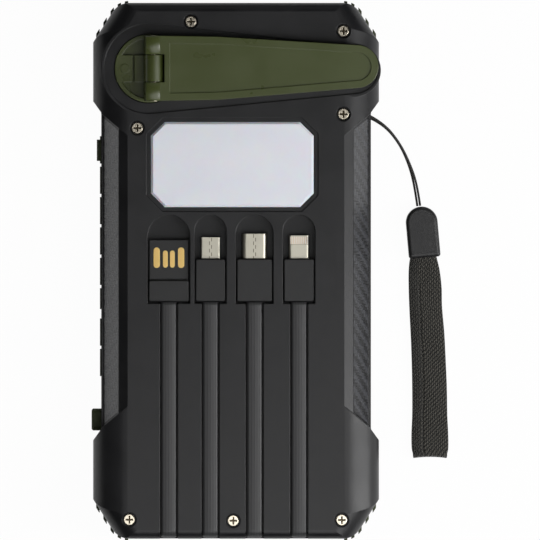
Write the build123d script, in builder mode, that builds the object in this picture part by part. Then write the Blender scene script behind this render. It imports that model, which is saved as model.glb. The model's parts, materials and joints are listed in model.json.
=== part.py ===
from build123d import *
from math import acos, cos, pi, radians, sin, tan
import os

# A pocket charger with a folding crank, a solar face, a lamp and four captive leads.
# All sizes are millimetres. The solar face lies on z = 0, the crank side is up (+Z),
# the long axis is Y and the cable roots leave the end at -Y.

# ---------------------------------------------------------------- case, driving sizes
case_length = 153.2
case_width = 81.8
case_height = 26.0
half_length = case_length / 2
half_width = case_width / 2
waist_width = case_width - 4.6
half_waist = waist_width / 2
waist_half_length = half_length - 31.3    # the waist's straight side ends here
waist_ramp = 3.2              # length of the ramp from waist to full width
ramp_radius = 2.0
corner_run = 7.2              # the cut corner, along X
corner_drop = 11.3            # the cut corner, along Y
corner_end_radius = 6.0
corner_side_radius = 10.0
face_half_width = 31.0        # the crank face is flat this far out
shoulder_drop = 8.5           # height that the side shoulders fall
end_round = 2.5
corner_round = 6.0
floor_round = 5.0
wall = 2.4
floor_thickness = 2.6
roof_thickness = 3.6
low_split = 8.5               # top of the front shell
high_split = 13.5             # bottom of the back shell
fit = 0.1                     # gap between pieces that lie in each other
running_fit = 0.05            # radial gap of a bearing
seam = 0.02                   # gap between pieces that are stacked

# ---------------------------------------------------------------- waist grips
slope_knee_x = face_half_width + 2.5
slope_knee_drop = 1.4
slope_foot_x = half_waist - 0.6
slope_foot_height = 15.5
slope_end_rise = 0.83         # the slope's end runs outwards at this rate
slope_half_length = waist_half_length - 6.6    # half length of the slope along the face's edge
grip_thickness = 0.8
grip_margin = 0.45

# ---------------------------------------------------------------- bumper
bumper_wall = 2.6
pad_thickness = 1.2
pad_floor = 5.6
pad_roof = 17.0
pad_reach_x = half_width - 12.9    # the corner pads cover the case beyond this
pad_reach_y = half_length - 16.1
rib_count = 5
rib_first_x = half_width - 9.5
rib_pitch = 2.05
rib_width = 0.9
rib_height = 0.65
rail_pitch = 8.7              # the moulded pads along the left side
rail_notch = 0.9
rail_height = 0.4
rail_top = half_length - 37.6
rail_count = 8
rail_cover_count = 6          # so many of them are on the port cover

# ---------------------------------------------------------------- case screws
screw_places = [
    (-12.9, half_length - 5.4),
    (half_width - 10.2, half_length - 8.1),
    (12.7 - half_width, half_length - 35.8),
    (half_width - 10.2, half_length - 31.8),
    (10.4 - half_width, 5.5 - half_length),
    (-0.8, 5.2 - half_length),
    (half_width - 10.7, 5.4 - half_length),
]
screw_radius = 1.0
screw_head_radius = 1.7
screw_head_height = 1.3
screw_well_radius = 2.1
screw_well_depth = 1.7
screw_tip_height = 4.4
post_radius = 2.0
post_split = 12.0
cross_length = 2.2
cross_width = 0.5
cross_depth = 0.7

# ---------------------------------------------------------------- crank
hub_x = 16.0 - half_width
hub_y = half_length - 18.8
hub_radius = 9.7
hub_height = 2.7
hub_dish_depth = 1.4
hub_dish_radius = 8.6
dish_ring_radius = 12.9
dish_ring_depth = 0.8
arm_gap = 0.3                 # the folded arm runs this far over the face
arm_thickness = 5.6
arm_top_wall = 1.6
arm_wall = 1.6
arm_root_half_width = 9.3
arm_knee_x = hub_x + 19.5
arm_knee_half_width = 9.0
tip_x = half_width - 6.3
tip_y = hub_y + 0.5
tip_radius = 6.1
arm_panel_margin = 2.1
arm_panel_depth = 0.4
arm_panel_start_x = hub_x + 6.0
hinge_x = hub_x + 1.5
knuckle_width = 7.6
knuckle_gap = 0.2
hinge_pin_radius = 1.0
hinge_pin_overhang = 0.1
bar_start = -9.2              # the hub's stop bar, from the hub's centre
bar_end = -4.6
bar_stud_radius = 1.3
lip_wall = 0.8
lip_x = tip_x - 0.7
lip_y = hub_y - 0.5
lip_radius = 7.5
lip_foot = 17.0
knob_radius = 5.5
knob_post_radius = 1.9
knob_screw_head_radius = 2.9
knob_screw_head_height = 0.8
knob_screw_radius = 0.8
knob_screw_depth = 2.4
knob_sink = 0.1
knob_flute_radius = 0.7
knob_flute_count = 12

# ---------------------------------------------------------------- gear train
gear_module = 0.6
pressure_angle = 25.0
wheel_teeth = 36
pinion_teeth = 12
tooth_addendum = 0.8 * gear_module
tooth_dedendum = 1.05 * gear_module
tooth_play = 0.06
centre_play = 0.06
flank_steps = 3
train_angle = -8.0            # direction of the row of gears from the hub
first_level = 8.0             # floor of the crank gear
gear_face = 2.4
level_gap = 0.6
shaft_radius = 2.7
shaft_key_radius = 2.3
shaft_flat = 1.6
arbor_radius = 1.0
spacer_radius = 1.9
plate_thickness = 1.5
lower_plate_height = 4.1
upper_plate_height = 16.9
plate_half_width = 14.2
plate_start = -7.4
plate_end = 54.0
pillar_radius = 1.8
pillar_reach = 12.3
pillar_first = 5.6
pillar_last = 36.1
gearbox_screw_radius = 0.9
gearbox_head_radius = 1.8
gearbox_head_height = 1.1
gearbox_screw_bite = 1.4
bush_radius = 4.2
bush_flange_radius = 6.5
bush_flange = 0.6
bush_foot = 19.2
hub_screw_radius = 1.1
hub_screw_head_radius = 3.0
hub_screw_head_height = 1.0
hub_screw_depth = 6.0

# ---------------------------------------------------------------- generator
generator_radius = 10.0
generator_wall = 0.8
generator_roof = 13.5
rotor_shaft_radius = 0.75
rotor_disc_radius = 8.4
rotor_disc_height = 2.6
coil_count = 6
coil_radius = 2.0
coil_height = 2.4
coil_ring_radius = 5.8

# ---------------------------------------------------------------- lamp
lamp_x = -1.05
lamp_y = hub_y - 27.45
lamp_width = 46.5
lamp_length = 24.3
lamp_corner = 3.9
lamp_margin = 1.3
lamp_rebate = 0.7
lens_thickness = 2.2
lens_bevel = 0.6
lens_sink = 0.1
lamp_depth = 5.8
led_columns = 6
led_rows = 3
led_size = 3.0
led_height = 0.8
lamp_board = 1.0
tray_wall = 1.5

# ---------------------------------------------------------------- captive leads
plug_y = lamp_y - 26.85       # head of the three taller grips
# name, centre x, grip width, grip top, metal width, metal thickness, metal tip
plug_table = [
    ("usb_a", -19.2, 11.8, plug_y - 6.1, 11.3, 2.3, plug_y + 5.3),
    ("micro_usb", -7.3, 8.8, plug_y, 5.6, 1.8, plug_y + 6.1),
    ("type_c", 5.3, 10.4, plug_y, 7.3, 2.5, plug_y + 7.1),
    ("lightning", 18.0, 8.9, plug_y, 5.9, 1.6, plug_y + 6.6),
]
# corner radius of the metal, as a share of its thickness
metal_rounding = {"usb_a": 0.1, "micro_usb": 0.25, "type_c": 0.49, "lightning": 0.45}
hollow_plugs = ("micro_usb", "type_c")
plug_shell = 0.35
# distance from the middle, width, foot and head of the gold contacts, on both sides
contact_table = [(3.5, 1.8, plug_y - 2.7, plug_y + 3.2), (1.0, 1.4, plug_y - 2.6, plug_y + 2.3)]
contact_height = 0.08
grip_foot_y = plug_y - 12.4
grip_height = 4.8
grip_top_sink = 0.4
grip_edge = 0.7
pocket_depth = 5.6
pocket_arch_y = plug_y + 12.5
pocket_side_gap = 0.2
pocket_foot_gap = 0.5
lead_width = 4.2
lead_thickness = 1.5
lead_sink = 0.3               # the leads lie this deep under the face
groove_width = 5.2
groove_depth = 2.0
lead_hinge_y = 5.1 - half_length
lead_bend = 1.5
root_exit_height = 19.0
root_inner_y = 3.7 - half_length
hinge_gap = 0.5

# ---------------------------------------------------------------- boards and sockets
board_left = half_waist - 2.6
board_width = 12.4
board_head = hub_y - 20.2
board_foot = board_head - 84.6
board_height = 5.6
board_thickness = 1.6
board_screw_ys = [board_foot + 11.0, board_foot + 23.0, board_head - 2.8]
board_screw_x = 9.4 - board_left
board_screw_radius = 0.8
board_screw_head = 1.5
board_screw_depth = 2.2
socket_wall = 0.6
switch_size = 6.0
switch_depth = 3.6
switch_plunger = 0.9
switch_plunger_radius = 1.4
socket_reach = half_waist - 1.6
# name, place along the side, width, height
socket_table = [
    ("usb_a_socket", board_head - 12.1, 14.5, 7.0),
    ("type_c_socket", board_head - 29.0, 9.0, 3.3),
    ("micro_usb_socket", board_head - 42.2, 7.8, 2.9),
]
# depth, mouth width, mouth height, tongue width, tongue height
socket_insides = {
    "usb_a_socket": (13.4, 12.5, 5.1, 11.1, 1.8),
    "type_c_socket": (7.6, 8.3, 2.6, 6.7, 0.7),
    "micro_usb_socket": (5.6, 6.9, 1.9, 5.0, 0.6),
}
cover_depth = 1.6
cover_floor = 6.2
cover_roof = 15.0
cover_thickness = 1.5
tab_top = board_head
tab_foot = tab_top - 6.1
tab_reach = half_waist + 1.3
tab_floor = 9.0
tab_roof = 12.6
button_y = board_foot + 4.4
button_length = 6.3
button_height = 4.2
button_reach = half_waist + 2.8
button_travel = 0.6
button_flange = 0.8
button_corner = 1.4

# ---------------------------------------------------------------- cell and solar face
cell_left = 14.0 - board_left
cell_width = half_waist - 3.0 - cell_left
cell_foot = 8.1 - half_length
cell_length = hub_y - 26.8 - cell_foot
cell_thickness = 11.0
cell_edge = 1.5
cell_tape = 0.5
solar_width = waist_width - 19.2
solar_length = case_length - 35.2
solar_thickness = 1.2
solar_sink = 0.4
solar_y = 4.0

# ---------------------------------------------------------------- lanyard
lanyard_y = half_length - 32.5
lanyard_pin_x = half_waist - 1.25
lanyard_pin_radius = 0.7
lanyard_pocket_length = 4.2
lanyard_pocket_height = 3.4
lanyard_pocket_depth = 3.0
lanyard_block = 5.0
lanyard_cord = 0.65
cap_width = 9.1
cap_length = 14.7
cap_height = 6.5
cap_x = 53.5
cap_y = 11.1
cap_tilt = 5.0
cap_foot_radius = 0.8
cap_edge = 1.0
strap_width = 9.4
strap_thickness = 3.0
strap_route = [(54.05, 3.2), (54.6, -24.0), (55.6, -52.6)]
lanyard_routes = {
    "lanyard_cord_upper": [
        (38.3, 44.4, 11.5),
        (42.4, 42.2, 10.6),
        (46.9, 36.7, 7.2),
        (50.0, 30.5, 3.5),
        (52.0, 24.5, 2.0),
        (52.8, 18.7, 2.7),
    ],
    "lanyard_cord_lower": [
        (38.3, 43.8, 10.5),
        (42.2, 42.0, 9.4),
        (46.8, 36.6, 6.0),
        (49.6, 30.5, 2.3),
        (51.2, 24.5, 1.4),
        (52.0, 18.6, 2.6),
    ],
}

# ---------------------------------------------------------------- worked out from the above
face = case_height
roof = case_height - roof_thickness
arm_floor = face + arm_gap
arm_roof = arm_floor + arm_thickness
hinge_z = arm_floor + arm_thickness / 2
knuckle_radius = arm_thickness / 2
plug_floor = face - grip_top_sink - grip_height
plug_middle = plug_floor + grip_height / 2
pocket_floor = face - pocket_depth
groove_floor = face - groove_depth
lead_middle = face - lead_sink - lead_thickness / 2
cell_floor = floor_thickness + cell_tape
hub_floor = face - hub_height
pitch_step = gear_module * (wheel_teeth + pinion_teeth) / 2 + centre_play
train_x = cos(radians(train_angle))
train_y = sin(radians(train_angle))
second_level = first_level + gear_face + level_gap
third_level = second_level + gear_face + level_gap
board_roof = board_height + board_thickness
cover_head = rail_top - rail_notch / 2
cover_foot = rail_top - rail_cover_count * rail_pitch + rail_notch / 2
bumper_inner = half_waist - bumper_wall
lens_floor = face - lens_sink - lens_thickness
slope = Vector(slope_foot_x - slope_knee_x, 0, slope_foot_height - face + slope_knee_drop)
slope_along = slope.normalized()
slope_inward = Vector(slope_along.Z, 0, -slope_along.X)
wheel_phase = train_angle
pinion_phase = train_angle + 180 + 180 / pinion_teeth


def on_train(along, across=0.0):
    """A place in the gearbox: along the row of gears, and across it."""
    x = hub_x + along * train_x - across * train_y
    return x, hub_y + along * train_y + across * train_x


first_idler_place = on_train(pitch_step)
second_idler_place = on_train(2 * pitch_step)
generator_place = on_train(3 * pitch_step)
pillar_places = [
    on_train(along, across)
    for along in (pillar_first, pillar_last)
    for across in (pillar_reach, -pillar_reach)
]


# ---------------------------------------------------------------- shared forms
def case_outline(inset):
    """Plan outline of the case, drawn in by inset (or out, where it is negative)."""
    quarter = [
        (half_waist, waist_half_length),
        (half_width, waist_half_length + waist_ramp),
        (half_width, half_length - corner_drop),
        (half_width - corner_run, half_length),
    ]
    upper = quarter + [(-x, y) for x, y in reversed(quarter)]
    lower = [(-x, -y) for x, y in upper]
    with BuildSketch() as outline:
        with BuildLine():
            Polyline(*upper, *lower, close=True)
        make_face()
        corners = outline.vertices()
        ends = corners.filter_by(lambda v: abs(v.Y) > half_length - 1)
        sides = corners.filter_by(
            lambda v: abs(abs(v.Y) - half_length + corner_drop) < 1
        )
        ramps = corners.filter_by(
            lambda v: abs(v.Y) < waist_half_length + waist_ramp + 1
        )
        fillet(ends, corner_end_radius)
        fillet(sides, corner_side_radius)
        fillet(ramps, ramp_radius)
        if inset:
            offset(amount=-inset)
    return outline.sketch


def crown_profile(reach, run, drop, inset):
    """A cross-section with rounded upper edges, run wide and drop high."""
    side = reach - inset
    with BuildSketch() as profile:
        with BuildLine():
            base = Line((0, inset), (side - floor_round + inset, inset))
            low = CenterArc((side - floor_round + inset, floor_round), floor_round - inset, -90, 90)
            Line(low @ 1, (side, case_height - drop))
            crown_middle = (reach - run, case_height - drop)
            crown = EllipticalCenterArc(crown_middle, run - inset, drop - inset, arc_size=90)
            Line(crown @ 1, (0, case_height - inset))
            mirror(about=Plane.YZ)
        make_face()
    return profile.sketch


def waist_plan(grow):
    """Plan of the right side's slope, with its ends running outwards, grown by a wall."""
    outside = half_width + wall
    widening = (outside - face_half_width) * slope_end_rise
    with BuildSketch() as plan:
        with BuildLine():
            Polyline(
                (face_half_width, slope_half_length),
                (outside, slope_half_length + widening),
                (outside, -slope_half_length - widening),
                (face_half_width, -slope_half_length),
                close=True,
            )
        make_face()
        if grow:
            offset(amount=grow, kind=Kind.INTERSECTION)
    return plan.sketch


def waist_wedges(grow):
    """What the sloped sides of the waist take off, grown by a wall."""
    knee = (slope_knee_x, face - slope_knee_drop)
    foot = (slope_foot_x, slope_foot_height)
    outside = half_width + wall
    with BuildPart() as wedges:
        with BuildSketch(Plane.XZ):
            with BuildLine():
                Polyline(
                    (face_half_width, face),
                    knee,
                    foot,
                    (outside, slope_foot_height),
                    (outside, face + wall),
                    (face_half_width, face + wall),
                    close=True,
                )
            make_face()
            if grow:
                offset(amount=grow, kind=Kind.INTERSECTION)
        extrude(amount=half_length, both=True)
        with BuildSketch():
            add(waist_plan(grow))
        extrude(amount=case_height * 2, mode=Mode.INTERSECT)
        mirror(about=Plane.YZ)
    return wedges.part


def case_block(inset, low, high):
    """The case's outer form drawn in by inset, cut off at two heights."""
    diagonal = Vector(corner_drop, corner_run, 0).normalized()
    reach = diagonal.dot(Vector(half_width, half_length - corner_drop, 0))
    with BuildPart() as block:
        with BuildSketch(Plane.XY.offset(low)):
            add(case_outline(inset))
        extrude(amount=high - low)
        with BuildSketch(Plane.XZ):
            add(crown_profile(half_width, half_width - face_half_width, shoulder_drop, inset))
        extrude(amount=case_length, both=True, mode=Mode.INTERSECT)
        with BuildSketch(Plane.YZ):
            add(crown_profile(half_length, end_round, end_round, min(inset, end_round - 0.1)))
        extrude(amount=case_length, both=True, mode=Mode.INTERSECT)
        for way in (1, -1):
            across = Vector(diagonal.X * way, diagonal.Y, 0)
            slant = Plane(origin=(0, 0, 0), x_dir=across, z_dir=across.cross(Vector(0, 0, 1)))
            with BuildSketch(slant):
                add(crown_profile(reach, corner_round, corner_round, inset))
            extrude(amount=case_length, both=True, mode=Mode.INTERSECT)
        add(waist_wedges(inset), mode=Mode.SUBTRACT)
    return block.part


def case_cavity():
    """The room inside the closed case."""
    return case_block(wall, floor_thickness, roof)


def grip_slab(margin, sink, proud):
    """A slab in the right side's slope, inside its edge by a margin."""
    start = Vector(slope_knee_x, 0, face - slope_knee_drop) + slope_along * margin
    stop = Vector(slope_foot_x, 0, slope_foot_height) - slope_along * margin
    ring = [
        start - slope_inward * proud,
        stop - slope_inward * proud,
        stop + slope_inward * sink,
        start + slope_inward * sink,
    ]
    with BuildPart() as slab:
        with BuildSketch(Plane.XZ):
            with BuildLine():
                Polyline(*[(point.X, point.Z) for point in ring], close=True)
            make_face()
        extrude(amount=half_length, both=True)
        with BuildSketch():
            add(waist_plan(-margin))
        extrude(amount=case_height, mode=Mode.INTERSECT)
    return slab.part


def octagon(grow):
    """The lamp's outline, grown by a margin."""
    with BuildSketch() as shape:
        with Locations((lamp_x, lamp_y)):
            Rectangle(lamp_width, lamp_length)
        chamfer(shape.vertices(), lamp_corner)
        if grow:
            offset(amount=grow, kind=Kind.INTERSECTION)
    return shape.sketch


def gear_outline(teeth, phase):
    """An involute gear's outline, with one tooth centred on the phase angle."""
    pressure = radians(pressure_angle)
    pitch = gear_module * teeth / 2
    base = pitch * cos(pressure)
    root = pitch - tooth_dedendum
    tip = pitch + tooth_addendum
    start = max(root, base)
    at_pitch = (pi * gear_module / 2 - tooth_play) / 2 / pitch

    def half_tooth(radius):
        roll = acos(min(1.0, base / radius))
        return at_pitch + tan(pressure) - pressure - tan(roll) + roll

    radii = [start + (tip - start) * i / flank_steps for i in range(flank_steps + 1)]
    flank = [(radius, half_tooth(radius)) for radius in radii]
    if root < base:
        flank = [(root, half_tooth(base))] + flank
    points = []
    for tooth in range(teeth):
        middle = radians(phase) + 2 * pi * tooth / teeth
        points += [(r * cos(middle - a), r * sin(middle - a)) for r, a in flank]
        points += [(r * cos(middle + a), r * sin(middle + a)) for r, a in reversed(flank)]
    with BuildSketch() as outline:
        with BuildLine():
            Polyline(*points, close=True)
        make_face()
    return outline.sketch


def bumper_pads(proud, clearance):
    """The bumper's pads on the four corners, standing proud and grown by a clearance."""
    with BuildPart() as pads:
        with BuildSketch(Plane.XY.offset(pad_floor - clearance)):
            add(case_outline(-proud))
            add(case_outline(pad_thickness + clearance), mode=Mode.SUBTRACT)
            Rectangle(2 * (pad_reach_x - clearance), 3 * half_length, mode=Mode.SUBTRACT)
            Rectangle(3 * half_width, 2 * (pad_reach_y - clearance), mode=Mode.SUBTRACT)
        extrude(amount=pad_roof - pad_floor + 2 * clearance)
    return pads.part


def cover_space():
    """The room for the port cover in the left side."""
    with BuildPart() as space:
        with BuildSketch(Plane.XY.offset(cover_floor - fit)):
            with Locations((-half_waist, (cover_head + cover_foot) / 2)):
                Rectangle(2 * cover_depth, cover_head - cover_foot + 2 * fit)
        extrude(amount=cover_roof - cover_floor + 2 * fit)
    return space.part


def lead_root(plug_x, clearance):
    """A lead's fixed end: out of the case, up the end face and over its edge."""
    end_y = lead_sink + lead_thickness / 2 - half_length
    with BuildPart() as root:
        with BuildSketch(Plane.YZ.offset(plug_x)):
            with BuildLine():
                FilletPolyline(
                    (lead_hinge_y - lead_thickness / 2 - hinge_gap + 2 * clearance, lead_middle),
                    (end_y, lead_middle),
                    (end_y, root_exit_height),
                    (root_inner_y + 2 * clearance, root_exit_height),
                    radius=lead_bend,
                )
            trace(line_width=lead_thickness + 2 * clearance)
        extrude(amount=lead_width / 2 + clearance, both=True)
    return root.part


def socket_openings(clearance):
    """What the three sockets take out of the wall behind the port cover."""
    with BuildPart() as openings:
        for _, socket_y, width, height in socket_table:
            with BuildSketch(Plane.YZ.offset(-half_width)):
                with Locations((socket_y, board_roof + height / 2)):
                    Rectangle(width + 2 * clearance, height + 2 * clearance)
            extrude(amount=half_width - socket_reach + 4 * wall)
    return openings.part



# ---------------------------------------------------------------- back shell (crank side)
with BuildPart() as back_shell:
    add(case_block(0, high_split, case_height))
    with BuildSketch(Plane.XY.offset(lip_foot)):
        with Locations((lip_x, lip_y)):
            Circle(lip_radius)
        with Locations((hub_x, hub_y)):
            Circle(dish_ring_radius + lip_wall)
    extrude(amount=face - lip_foot)
    add(case_cavity(), mode=Mode.SUBTRACT)
    # trays for the lamp and the plugs, bosses for the bush, the gearbox and the screws
    tray_left = plug_table[0][1] - plug_table[0][2] / 2 - pocket_side_gap - tray_wall
    tray_right = lamp_x + lamp_width / 2 + lamp_margin + tray_wall
    tray_top = lamp_y + lamp_length / 2 + lamp_margin + tray_wall
    tray_bottom = grip_foot_y - pocket_foot_gap - tray_wall
    tray_left = min(tray_left, lamp_x - lamp_width / 2 - lamp_margin - tray_wall)
    tray_floor = min(face - lamp_depth, pocket_floor) - tray_wall
    with BuildSketch(Plane.XY.offset(tray_floor)):
        with Locations(((tray_left + tray_right) / 2, (tray_top + tray_bottom) / 2)):
            Rectangle(tray_right - tray_left, tray_top - tray_bottom)
    extrude(amount=roof - tray_floor)
    with BuildSketch(Plane.XY.offset(hub_floor - bush_flange - tray_wall)):
        with Locations((hub_x, hub_y)):
            Circle(hub_radius + tray_wall)
    extrude(amount=roof - hub_floor + bush_flange + tray_wall)
    with BuildSketch(Plane.XY.offset(bush_foot)):
        with Locations((hub_x, hub_y)):
            Circle(bush_radius + tray_wall)
    extrude(amount=roof - bush_foot)
    with BuildSketch(Plane.XY.offset(upper_plate_height + plate_thickness + seam)):
        with Locations(pillar_places):
            Circle(pillar_radius)
    extrude(amount=roof - upper_plate_height - plate_thickness - seam)
    with BuildSketch(Plane.XY.offset(post_split + seam)):
        with Locations(screw_places):
            Circle(post_radius)
    extrude(amount=roof - post_split - seam)
    # hub pocket, with the shallow dish that runs on under the arm to its lip
    with BuildSketch(Plane.XY.offset(face - dish_ring_depth)):
        with Locations((hub_x, hub_y)):
            Circle(dish_ring_radius)
        with Locations((lip_x, lip_y)):
            Circle(lip_radius - lip_wall)
        make_hull()
    extrude(amount=case_height, mode=Mode.SUBTRACT)
    with BuildSketch(Plane.XY.offset(hub_floor - fit)):
        with Locations((hub_x, hub_y)):
            Circle(hub_radius + 2 * fit)
    extrude(amount=case_height, mode=Mode.SUBTRACT)
    with BuildSketch(Plane.XY.offset(hub_floor - fit - bush_flange)):
        with Locations((hub_x, hub_y)):
            Circle(bush_flange_radius + fit)
    extrude(amount=case_height, mode=Mode.SUBTRACT)
    with BuildSketch():
        with Locations((hub_x, hub_y)):
            Circle(bush_radius + seam)
    extrude(amount=case_height, mode=Mode.SUBTRACT)
    # lamp pocket
    with BuildSketch(Plane.XY.offset(face - lamp_rebate)):
        add(octagon(lamp_margin))
    extrude(amount=case_height, mode=Mode.SUBTRACT)
    with BuildSketch(Plane.XY.offset(lens_floor - seam)):
        add(octagon(fit))
    extrude(amount=case_height, mode=Mode.SUBTRACT)
    with BuildSketch(Plane.XY.offset(face - lamp_depth)):
        add(octagon(-lamp_margin))
    extrude(amount=case_height, mode=Mode.SUBTRACT)
    # plug pockets and lead grooves
    for _, plug_x, grip_width, _, _, _, _ in plug_table:
        pocket_width = grip_width + 2 * pocket_side_gap
        pocket_foot = grip_foot_y - pocket_foot_gap
        arch_middle = pocket_arch_y - pocket_width / 2
        with BuildSketch(Plane.XY.offset(pocket_floor)):
            with Locations((plug_x, (arch_middle + pocket_foot) / 2)):
                Rectangle(pocket_width, arch_middle - pocket_foot)
            with Locations((plug_x, arch_middle)):
                Circle(pocket_width / 2)
        extrude(amount=case_height, mode=Mode.SUBTRACT)
        with BuildSketch(Plane.XY.offset(groove_floor)):
            with Locations((plug_x, (pocket_foot - case_length) / 2)):
                Rectangle(groove_width, case_length + pocket_foot)
        extrude(amount=case_height, mode=Mode.SUBTRACT)
        with BuildSketch(Plane.XZ.offset(half_length - lead_sink - lead_thickness - fit)):
            with Locations((plug_x, (root_exit_height + case_height) / 2)):
                Rectangle(groove_width, case_height - root_exit_height + lead_thickness + 2 * fit)
        extrude(amount=half_length, mode=Mode.SUBTRACT)
        add(lead_root(plug_x, fit), mode=Mode.SUBTRACT)
    # seats of the grips, the bumper pads, the port cover and the sockets
    add(grip_slab(grip_margin - fit, grip_thickness + seam, wall), mode=Mode.SUBTRACT)
    mirror(
        grip_slab(grip_margin - fit, grip_thickness + seam, wall),
        about=Plane.YZ,
        mode=Mode.SUBTRACT,
    )
    add(bumper_pads(2 * rib_height, seam), mode=Mode.SUBTRACT)
    add(cover_space(), mode=Mode.SUBTRACT)
    add(socket_openings(fit), mode=Mode.SUBTRACT)
    with BuildSketch(Plane.XY.offset(high_split)):
        with Locations((lanyard_pin_x, lanyard_y)):
            Circle(lanyard_pin_radius + seam)
    extrude(amount=plate_thickness, mode=Mode.SUBTRACT)
    # screw wells and holes
    with BuildSketch(Plane.XY.offset(face - screw_well_depth)):
        with Locations(screw_places):
            Circle(screw_well_radius)
    extrude(amount=case_height, mode=Mode.SUBTRACT)
    with BuildSketch():
        with Locations(screw_places):
            Circle(screw_radius + fit)
    extrude(amount=case_height, mode=Mode.SUBTRACT)
    with BuildSketch(Plane.XY.offset(upper_plate_height)):
        with Locations(pillar_places):
            Circle(gearbox_screw_radius + seam)
    extrude(amount=plate_thickness + gearbox_screw_bite + fit, mode=Mode.SUBTRACT)

back_shell.part.label = "back_shell"
export_step(back_shell.part, "parts/back_shell.step")

# ---------------------------------------------------------------- front shell (solar side)
with BuildPart() as front_shell:
    add(case_block(0, 0, low_split - seam))
    add(case_cavity(), mode=Mode.SUBTRACT)
    with BuildSketch(Plane.XY.offset(floor_thickness)):
        with Locations(screw_places):
            Circle(post_radius)
    extrude(amount=post_split - floor_thickness)
    with BuildSketch(Plane.XY.offset(floor_thickness)):
        for screw_y in board_screw_ys:
            with Locations((board_screw_x, screw_y)):
                Circle(2 * board_screw_radius)
    extrude(amount=board_height - seam - floor_thickness)
    with BuildSketch():
        with Locations((0, solar_y)):
            Rectangle(solar_width + 2 * fit, solar_length + 2 * fit)
    extrude(amount=solar_sink + solar_thickness + seam, mode=Mode.SUBTRACT)
    add(bumper_pads(2 * rib_height, seam), mode=Mode.SUBTRACT)
    add(cover_space(), mode=Mode.SUBTRACT)
    add(socket_openings(fit), mode=Mode.SUBTRACT)
    with BuildSketch(Plane.XY.offset(screw_tip_height - fit)):
        with Locations(screw_places):
            Circle(screw_radius + seam)
    extrude(amount=post_split, mode=Mode.SUBTRACT)
    with BuildSketch(Plane.XY.offset(board_height - board_screw_depth - fit)):
        for screw_y in board_screw_ys:
            with Locations((board_screw_x, screw_y)):
                Circle(board_screw_radius + seam)
    extrude(amount=board_height, mode=Mode.SUBTRACT)
    with BuildSketch(Plane.XY.offset(low_split - plate_thickness)):
        with Locations((lanyard_pin_x, lanyard_y)):
            Circle(lanyard_pin_radius + seam)
    extrude(amount=plate_thickness, mode=Mode.SUBTRACT)
front_shell.part.label = "front_shell"
export_step(front_shell.part, "parts/front_shell.step")

# ---------------------------------------------------------------- bumper between the shells
with BuildSketch() as rib_slabs:
    for column in range(rib_count):
        rib_x = rib_first_x + column * rib_pitch
        for side in (1, -1):
            for end in (1, -1):
                with Locations((side * rib_x, end * half_length)):
                    Rectangle(rib_width, 2 * (half_length - pad_reach_y))

with BuildPart() as bumper_ribs:
    with BuildSketch(Plane.XY.offset(pad_floor)):
        add(case_outline(-rib_height))
        add(case_outline(pad_thickness / 2), mode=Mode.SUBTRACT)
        add(rib_slabs.sketch, mode=Mode.INTERSECT)
    extrude(amount=pad_roof - pad_floor)

with BuildPart() as bumper_frame:
    with BuildSketch(Plane.XY.offset(low_split)):
        add(case_outline(0))
        add(case_outline(bumper_wall), mode=Mode.SUBTRACT)
    extrude(amount=high_split - low_split - seam)
    add(bumper_pads(0, 0))
    add(bumper_ribs.part)
    rail_middle = rail_top - rail_pitch / 2
    with BuildSketch(Plane.XY.offset(low_split)):
        for pad in range(rail_cover_count, rail_count):
            with Locations((-half_waist, rail_middle - pad * rail_pitch)):
                Rectangle(2 * rail_height, rail_pitch - rail_notch)
        with Locations((half_waist - lanyard_block / 2, lanyard_y)):
            Rectangle(lanyard_block, lanyard_pocket_length + 2 * wall)
    extrude(amount=high_split - low_split - seam)
    # button slot, lanyard pocket, and the way through to the sockets
    with BuildSketch(Plane.YZ.offset(-2 * half_width)):
        with Locations((button_y, (low_split + high_split) / 2)):
            RectangleRounded(
                button_length + 2 * fit, button_height + 2 * fit, button_corner + fit
            )
    extrude(amount=2 * half_width, mode=Mode.SUBTRACT)
    with BuildSketch(Plane.YZ.offset(half_waist - lanyard_pocket_depth)):
        with Locations((lanyard_y, (low_split + high_split) / 2)):
            Rectangle(lanyard_pocket_length, lanyard_pocket_height)
    extrude(amount=2 * lanyard_pocket_depth, mode=Mode.SUBTRACT)
    with BuildSketch():
        with Locations((lanyard_pin_x, lanyard_y)):
            Circle(lanyard_pin_radius + seam)
    extrude(amount=case_height, mode=Mode.SUBTRACT)
    add(cover_space(), mode=Mode.SUBTRACT)
    add(socket_openings(fit), mode=Mode.SUBTRACT)
bumper_frame.part.label = "bumper_frame"
export_step(bumper_frame.part, "parts/bumper_frame.step")

with BuildPart() as lanyard_pin:
    with BuildSketch(Plane.XY.offset(low_split - plate_thickness)):
        with Locations((lanyard_pin_x, lanyard_y)):
            Circle(lanyard_pin_radius)
    extrude(amount=high_split - low_split + 2 * plate_thickness)
lanyard_pin.part.label = "lanyard_pin"
export_step(lanyard_pin.part, "parts/lanyard_pin.step")

# ---------------------------------------------------------------- grips, screws, solar face
with BuildPart() as carbon_grip_right:
    add(grip_slab(grip_margin, grip_thickness, 0))
carbon_grip_right.part.label = "carbon_grip_right"
export_step(carbon_grip_right.part, "parts/carbon_grip_right.step")

with BuildPart() as carbon_grip_left:
    mirror(carbon_grip_right.part, about=Plane.YZ)
carbon_grip_left.part.label = "carbon_grip_left"
export_step(carbon_grip_left.part, "parts/carbon_grip_left.step")

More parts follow.
